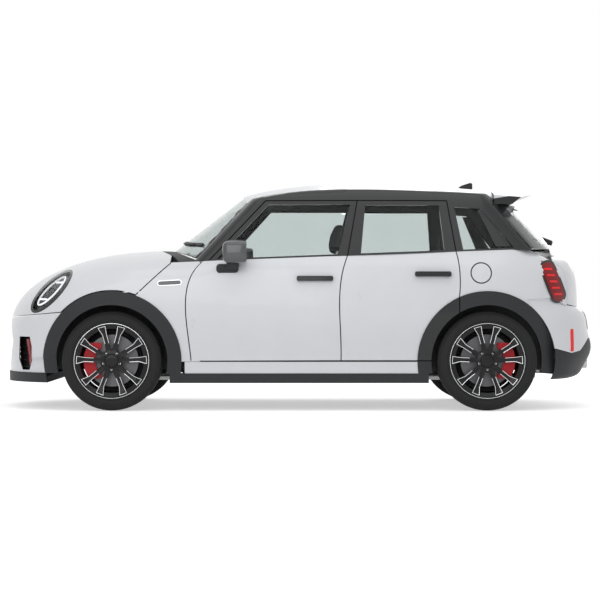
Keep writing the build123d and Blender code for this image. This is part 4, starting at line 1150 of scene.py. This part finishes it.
@dataclass
class OuterFittings:
    """Wipers, the blank plate and the dark borders of the quarter windows."""

    trim: SurfaceTrim
    facing: tuple[float, float, float] = (90.0, 0.0, 90.0)

    def wiper(self, name: str, node: str | bpy.types.Object, axis: str, at: tuple[float, float, float],
              length: float, tilt: float) -> bpy.types.Object:
        """A wiper blade with its spine, lying on a window.

        Args:
            name: Its name.
            node: The surface that it lies on.
            axis: The direction in which it is laid on the surface.
            at: Its middle, in front of the surface.
            length: The blade's length.
            tilt: Its tilt in degrees.

        Returns:
            The wiper.
        """
        turn = (self.facing[0], tilt, self.facing[2])
        blade = self.trim.plate(f"{name}_blade", (length, 0.016), at, turn, 14)
        self.trim.lay(blade, node, axis, 0.005, 0.007)
        spine = self.trim.plate(f"{name}_spine", (0.62 * length, 0.011), at, turn, 10)
        self.trim.lay(spine, node, axis, 0.013, 0.010)
        wiper = Bench.join([blade, spine], name)
        Bench.paint(wiper, GRAIN_BLACK)
        return wiper

    def front_wipers(self) -> None:
        """The two wipers at the foot of the windscreen."""
        screen = self.trim.backing("screen_backing", "fixed_glass", "cowl_panel", "pillar_frame", "bonnet")
        for side, at, length, tilt in (("left", (-1.5, -0.340, 1.114), 0.50, -3.0),
                                       ("right", (-1.5, 0.250, 1.126), 0.46, 1.0)):
            wiper = self.wiper(f"screen_wiper_{side}", screen, "+X", at, length, tilt)
            Bench.mount(wiper, "body", GRAIN_BLACK)
        bpy.data.objects.remove(screen)

    def rear_wiper(self) -> None:
        """The tailgate's wiper and its pivot."""
        window = self.trim.backing("hatch_backing", "hatch_glass", "tailgate")
        wiper = self.wiper("rear_wiper_arm", window, "-X", (2.2, 0.150, 1.160), 0.34, -3.0)
        pivot = Bench.block("rear_wiper_pivot", (0.090, 0.056, 0.050), (1.720, 0.0, 1.134), (0.0, 20.0, 0.0))
        Bench.apply(pivot, "BEVEL", width=0.014, segments=3, limit_method="NONE")
        Bench.smooth(pivot, TRIM_SMOOTH_DEG)
        Bench.paint(pivot, GRAIN_BLACK)
        Bench.mount(Bench.join([wiper, pivot], "rear_wiper_arm"), "tailgate", GRAIN_BLACK)
        bpy.data.objects.remove(window)

    def number_plate(self) -> None:
        """A blank plate on the rear bumper, in a dark holder."""
        tail = self.trim.backing("plate_backing", "rear_bumper", "rear_diffuser")
        for name, size, lift, finish in (("plate_holder", (0.540, 0.128), 0.001, GRAIN_BLACK),
                                         ("blank_plate", (0.520, 0.110), 0.004, PLATE_WHITE)):
            plate = self.trim.plate(name, size, (2.2, 0.0, 0.590), self.facing, 14, 0.1)
            self.trim.lay(plate, tail, "-X", lift, 0.004)
            Bench.paint(plate, finish)
            Bench.mount(plate, "body", finish)
        bpy.data.objects.remove(tail)

    def quarter_borders(self) -> None:
        """Dark borders at the rear of the quarter windows."""
        side = self.trim.backing("quarter_backing", "fixed_glass", "pillar_frame", "quarter_panels")
        corners = [(1.185, 1.335), (1.235, 1.335), (1.405, 1.085), (1.300, 1.085)]
        border = self.trim.quad("quarter_border", corners)
        self.trim.lay(border, side, "+Y", 0.0015, 0.003)
        border.name = "quarter_border_left"
        Bench.paint(border, GLOSS_BLACK)
        Bench.mount(Bench.copy(border, "quarter_border_right", flip=True), "body", GLOSS_BLACK)
        Bench.mount(border, "body", GLOSS_BLACK)
        bpy.data.objects.remove(side)

    def build(self) -> None:
        """Make all the fittings."""
        self.front_wipers()
        self.rear_wiper()
        self.number_plate()
        self.quarter_borders()


@dataclass
class DoorMirrors:
    """Rounded mirror housings on the front doors, with their feet and faces."""

    at: tuple[float, float, float] = (-0.416, -0.935, 1.045)
    size: tuple[float, float, float] = (0.190, 0.190, 0.152)

    def housing(self) -> bpy.types.Object:
        """The housing, fuller at the front and sunk round the mirror face.

        Returns:
            The left housing.
        """
        shell = Bench.block("mirror_cap", self.size, self.at)
        Bench.apply(shell, "BEVEL", width=0.28 * min(self.size), segments=2, limit_method="NONE")
        Bench.apply(shell, "SUBSURF", levels=2, render_levels=2)
        back_x = self.at[0] + 0.34 * self.size[0]
        Bench.pick(shell)
        bpy.ops.object.mode_set(mode="EDIT")
        bpy.ops.mesh.select_mode(type="FACE")
        bpy.ops.mesh.select_all(action="SELECT")
        bpy.ops.mesh.bisect(plane_co=(back_x, 0.0, 0.0), plane_no=(1.0, 0.0, 0.0), use_fill=True,
                            clear_outer=True)
        bpy.ops.object.mode_set(mode="OBJECT")
        Bench.choose(shell, lambda face: face.normal.x > 0.95 and face.center.x > back_x - 0.001)
        bpy.ops.mesh.inset(thickness=0.010, depth=0.0)
        bpy.ops.mesh.extrude_region_move(TRANSFORM_OT_translate={"value": (-0.012, 0.0, 0.0)})
        bpy.ops.object.mode_set(mode="OBJECT")
        Bench.paint(shell, CAP_GREY, MIRROR_FACE)
        for face in shell.data.polygons:
            inner = face.normal.x > 0.9 and face.center.x < back_x - 0.006
            face.material_index = 1 if inner else 0
        Bench.apply(shell, "BEVEL", width=0.003, segments=2, limit_method="ANGLE",
                    angle_limit=math.radians(50.0))
        Bench.outward(shell)
        Bench.smooth(shell, 50.0)
        return shell

    def foot(self) -> bpy.types.Object:
        """The foot that carries the housing from the door.

        Returns:
            The left foot.
        """
        base = Bench.block("mirror_foot", (0.146, 0.058, 0.060), (-0.478, -0.838, 0.938))
        neck = Bench.block("mirror_neck", (0.084, 0.100, 0.062), (-0.440, -0.892, 0.975), (28.0, 0.0, 0.0))
        foot = Bench.join([base, neck], "mirror_foot")
        Bench.apply(foot, "BEVEL", width=0.022, segments=4, limit_method="ANGLE",
                    angle_limit=math.radians(40.0))
        Bench.smooth(foot, TRIM_SMOOTH_DEG)
        Bench.paint(foot, GRAIN_BLACK)
        return foot

    def build(self) -> None:
        """Set both mirrors on their doors."""
        for part, finish in ((self.housing(), CAP_GREY), (self.foot(), GRAIN_BLACK)):
            stem = part.name
            part.name = f"{stem}_left"
            Bench.mount(part, "front_door_left", finish)
            Bench.mount(Bench.copy(part, f"{stem}_right", flip=True), "front_door_right", finish)


@dataclass
class Seats:
    """Padded seats: crowned cushions and backs with sewn channels, and head rests."""

    front_y: float = 0.370
    voxel: float = 0.012
    seam_depth: float = 0.006
    frames: int = 20
    pressure: float = 4.0
    rear_head_y: float = 0.33
    post_shifts: tuple[float, float] = (-0.05, 0.05)

    def pad(self, name: str, size: tuple[float, float, float], at: tuple[float, float, float], tilt: float,
            crown: float, channels: int) -> bpy.types.Object:
        """One padded piece with rounded edges, a crowned face and sewn channels.

        Args:
            name: Its name.
            size: Its extents: thickness or depth along X, width along Y, height along Z.
            at: Its centre.
            tilt: Its lean in degrees about Y.
            crown: How far its large faces rise.
            channels: How many sewn channels cross it.

        Returns:
            The pad, settled.
        """
        pad = Bench.block(name, tuple(value - 2.0 * crown for value in size), (0.0, 0.0, 0.0))
        Bench.apply(pad, "BEVEL", width=0.3 * min(size), segments=4, limit_method="NONE")
        Bench.apply(pad, "REMESH", mode="VOXEL", voxel_size=self.voxel, use_smooth_shade=True)
        seams = [size[1] * ((i + 1) / (channels + 1) - 0.5) for i in range(channels)]
        self._sew(pad, seams)
        self._fill(pad, crown)
        Bench.apply(pad, "SUBSURF", levels=1, render_levels=1)
        pad.data.transform(Matrix.Translation(at) @ Matrix.Rotation(math.radians(tilt), 4, "Y"))
        Bench.outward(pad)
        Bench.smooth(pad, 60.0)
        Bench.paint(pad, CLOTH)
        return pad

    def _sew(self, pad: bpy.types.Object, seams: list[float]) -> None:
        """Draw the seam lines in and hold them for the filling.

        Args:
            pad: The pad about the origin.
            seams: The places of its seams along Y.
        """
        held = pad.vertex_groups.new(name="seam")
        normals = [vertex.normal.copy() for vertex in pad.data.vertices]
        for vertex, normal in zip(pad.data.vertices, normals):
            near = min((abs(vertex.co.y - seam) for seam in seams), default=1.0)
            if near < 0.75 * self.voxel:
                held.add([vertex.index], 1.0, "REPLACE")
                vertex.co -= normal * self.seam_depth

    def _fill(self, pad: bpy.types.Object, cap: float) -> None:
        """Swell the pad as cloth under pressure, and keep each point within a cap.

        Args:
            pad: The pad about the origin.
            cap: The furthest that a point moves.
        """
        before = [vertex.co.copy() for vertex in pad.data.vertices]
        Bench.pick(pad)
        cloth = pad.modifiers.new("filling", "CLOTH")
        cloth.settings.use_pressure = True
        cloth.settings.uniform_pressure_force = self.pressure
        cloth.settings.effector_weights.gravity = 0.0
        cloth.settings.vertex_group_mass = "seam"
        cloth.point_cache.frame_start = 1
        cloth.point_cache.frame_end = self.frames
        for moment in range(1, self.frames + 1):
            bpy.context.scene.frame_set(moment)
        bpy.ops.object.modifier_apply(modifier="filling")
        bpy.context.scene.frame_set(1)
        for vertex, start in zip(pad.data.vertices, before):
            move = vertex.co - start
            if move.length > cap:
                vertex.co = start + move * (cap / move.length)

    def build(self) -> None:
        """Make the front and rear seats."""
        first = None
        for side, sign in SIDES.items():
            y = sign * self.front_y
            parts = [self.pad(f"front_cushion_{side}", (0.52, 0.50, 0.17), (-0.130, y, 0.390), 0.0, 0.012, 3),
                     self.pad(f"front_back_{side}", (0.13, 0.50, 0.60), (0.170, y, 0.700), 16.0, 0.012, 3),
                     self.pad(f"front_headrest_{side}", (0.10, 0.255, 0.19), (0.260, y, 1.150), 10.0,
                              0.008, 0)]
            for part in parts:
                Bench.mount(part, "body", CLOTH)
                first = first or part
            frame = Bench.block(f"front_seat_frame_{side}", (0.38, 0.35, 0.040), (-0.130, y, 0.294))
            posts = [Bench.block(f"post_{side}_{i}", (0.012, 0.012, 0.150), (0.243, y + shift, 1.015),
                                 (0.0, 14.0, 0.0)) for i, shift in enumerate(self.post_shifts)]
            frame = Bench.join([frame] + posts, f"front_seat_frame_{side}")
            Bench.apply(frame, "BEVEL", width=0.003, segments=2, limit_method="ANGLE")
            Bench.paint(frame, STEEL)
            Bench.mount(frame, "body", STEEL)
        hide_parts("front_seats")
        rear = [self.pad("rear_cushion", (0.48, 1.16, 0.256), (0.700, 0.0, 0.402), 0.0, 0.012, 5),
                self.pad("rear_back", (0.13, 1.16, 0.56), (0.960, 0.0, 0.740), 18.0, 0.012, 5)]
        for side, sign in SIDES.items():
            y = sign * self.rear_head_y
            rest = self.pad(f"rear_headrest_{side}", (0.10, 0.27, 0.16), (1.040, y, 1.130), 6.0, 0.008, 0)
            rear.append(rest)
            posts = [Bench.block(f"rear_post_{side}_{i}", (0.012, 0.012, 0.130), (1.030, y + shift, 1.030))
                     for i, shift in enumerate(self.post_shifts)]
            posts = Bench.join(posts, f"rear_headrest_posts_{side}")
            Bench.apply(posts, "BEVEL", width=0.003, segments=2, limit_method="ANGLE")
            Bench.paint(posts, STEEL)
            Bench.mount(posts, "body", STEEL)
        for part in rear:
            Bench.mount(part, "body", CLOTH)
        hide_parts("rear_seat")


@dataclass
class Studio:
    """Pale floor, soft light and the camera at the photograph's place."""

    eye: tuple[float, float, float] = (0.0, -14.0, 0.73)
    lens: float = 120.0

    def camera(self) -> None:
        """The camera, level and square to the car's left side."""
        data = bpy.data.cameras.new("side_camera")
        data.lens = self.lens
        data.sensor_width = 36.0
        camera = bpy.data.objects.new("side_camera", data)
        camera.location = self.eye
        camera.rotation_euler = (math.pi / 2.0, 0.0, 0.0)
        bpy.context.scene.collection.objects.link(camera)
        bpy.context.scene.camera = camera

    @staticmethod
    def _looked_at(tree: bpy.types.NodeTree) -> bpy.types.NodeSocket:
        """Whether a ray comes from the camera, a reflection or through glass.

        Args:
            tree: The node tree that asks.

        Returns:
            A socket that is 1 for such a ray.
        """
        path = tree.nodes.new("ShaderNodeLightPath")
        total = path.outputs["Is Camera Ray"]
        for other in ("Is Glossy Ray", "Is Transmission Ray"):
            larger = tree.nodes.new("ShaderNodeMath")
            larger.operation = "MAXIMUM"
            tree.links.new(total, larger.inputs[0])
            tree.links.new(path.outputs[other], larger.inputs[1])
            total = larger.outputs["Value"]
        return total

    def floor(self) -> None:
        """A pale floor that keeps the car's shadow."""
        Bench.clear()
        bpy.ops.mesh.primitive_plane_add(size=80.0, location=(0.0, 0.0, -0.0005))
        floor = bpy.context.object
        floor.name = "studio_floor"
        material = bpy.data.materials.new("studio_floor_pale")
        material.use_nodes = True
        nodes = material.node_tree.nodes
        links = material.node_tree.links
        shader = nodes["Principled BSDF"]
        shader.inputs["Base Color"].default_value = (0.86, 0.86, 0.86, 1.0)
        shader.inputs["Roughness"].default_value = 0.9
        shader.inputs["Emission Color"].default_value = (1.0, 1.0, 1.0, 1.0)
        seen = nodes.new("ShaderNodeMath")
        seen.operation = "MULTIPLY"
        seen.inputs[1].default_value = 0.5
        links.new(self._looked_at(material.node_tree), seen.inputs[0])
        links.new(seen.outputs["Value"], shader.inputs["Emission Strength"])
        floor.data.materials.append(material)

    def world(self) -> None:
        """Soft light all round, white where the camera or a reflection sees it."""
        world = bpy.data.worlds.new("studio_world")
        bpy.context.scene.world = world
        world.use_nodes = True
        nodes = world.node_tree.nodes
        links = world.node_tree.links
        soft = nodes["Background"]
        soft.inputs["Color"].default_value = (1.0, 1.0, 1.0, 1.0)
        soft.inputs["Strength"].default_value = 0.62
        white = nodes.new("ShaderNodeBackground")
        white.inputs["Color"].default_value = (1.0, 1.0, 1.0, 1.0)
        white.inputs["Strength"].default_value = 1.0
        mix = nodes.new("ShaderNodeMixShader")
        links.new(self._looked_at(world.node_tree), mix.inputs["Fac"])
        links.new(soft.outputs["Background"], mix.inputs[1])
        links.new(white.outputs["Background"], mix.inputs[2])
        links.new(mix.outputs["Shader"], nodes["World Output"].inputs["Surface"])

    def lamp(self, name: str, at: tuple[float, float, float], aim: tuple[float, float, float], size: float,
             power: float) -> None:
        """A soft square lamp.

        Args:
            name: Its name.
            at: Its place.
            aim: The point that it faces.
            size: Its width.
            power: Its power in watts.
        """
        data = bpy.data.lights.new(name, "AREA")
        data.size = size
        data.energy = power
        lamp = bpy.data.objects.new(name, data)
        lamp.location = at
        lamp.rotation_euler = (Vector(aim) - Vector(at)).to_track_quat("-Z", "Y").to_euler()
        bpy.context.scene.collection.objects.link(lamp)

    def build(self) -> None:
        """Set up the studio."""
        bpy.context.scene.view_settings.view_transform = "Standard"
        self.camera()
        self.floor()
        self.world()
        self.lamp("top_light", (0.0, -2.5, 6.5), (0.0, 0.0, 0.6), 6.0, 85.0)
        self.lamp("side_light", (-2.0, -8.0, 3.2), (0.0, 0.0, 0.8), 5.0, 130.0)
        self.lamp("back_light", (2.5, 7.0, 4.0), (0.0, 0.0, 0.8), 5.0, 120.0)


def panel_plan() -> dict[str, Finish]:
    """The finish of every CAD node that is dressed as a skin.

    Returns:
        Finishes by node name.
    """
    plan = {}
    for name in ("bonnet", "front_bumper", "front_wings", "roof_panel", "quarter_panels", "rear_bumper",
                 "sill_skirts", "tailgate", "roof_spoiler", "fuel_flap"):
        plan[name] = WHITE_PAINT
    for side in SIDES:
        for end in ("front", "rear"):
            plan[f"{end}_door_{side}"] = WHITE_PAINT
            plan[f"{end}_trim_{side}"] = GLOSS_BLACK
            plan[f"{end}_glass_{side}"] = WINDOW
            plan[f"disc_{end}_{side}"] = disc_finish(end)
        plan[f"front_knuckle_{side}"] = CAST_DARK
        plan[f"front_caliper_{side}"] = CALIPER_RED
    for name in ("headlamp_bezels", "pillar_frame", "roof_antenna"):
        plan[name] = GLOSS_BLACK
    for name in ("front_grille", "front_lip", "cowl_panel", "rear_diffuser", "arch_cladding"):
        plan[name] = GRAIN_BLACK
    plan.update({"fixed_glass": WINDOW, "hatch_glass": PRIVACY, "headlamp_lenses": LAMP_CLEAR,
                 "tail_lamps": LAMP_RED, "body_frame": SEALED, "engine_block": CAST_DARK,
                 "front_subframe": CAST_DARK, "rear_axle": CAST_DARK, "rear_calipers": CALIPER_RED,
                 "dashboard": SOFT_PLASTIC, "steering_wheel": SOFT_PLASTIC, "exhaust": STEEL})
    return plan


def main() -> None:
    """Build the dressed car round the frame."""
    logging.basicConfig(level=logging.INFO, format="%(message)s")
    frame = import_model()
    bodies = frame["record"]["behaviour"]["bodies"]
    body_of = {node: body for body, members in bodies.items() for node in members}
    nodes = frame["nodes"]
    Panels(nodes, body_of, panel_plan()).build()
    WheelSet().build()
    trim = SurfaceTrim(nodes)
    Lamps(trim).build()
    OuterFittings(trim).build()
    DoorMirrors().build()
    Seats().build()
    Studio().build()


if __name__ == "__main__":
    main()
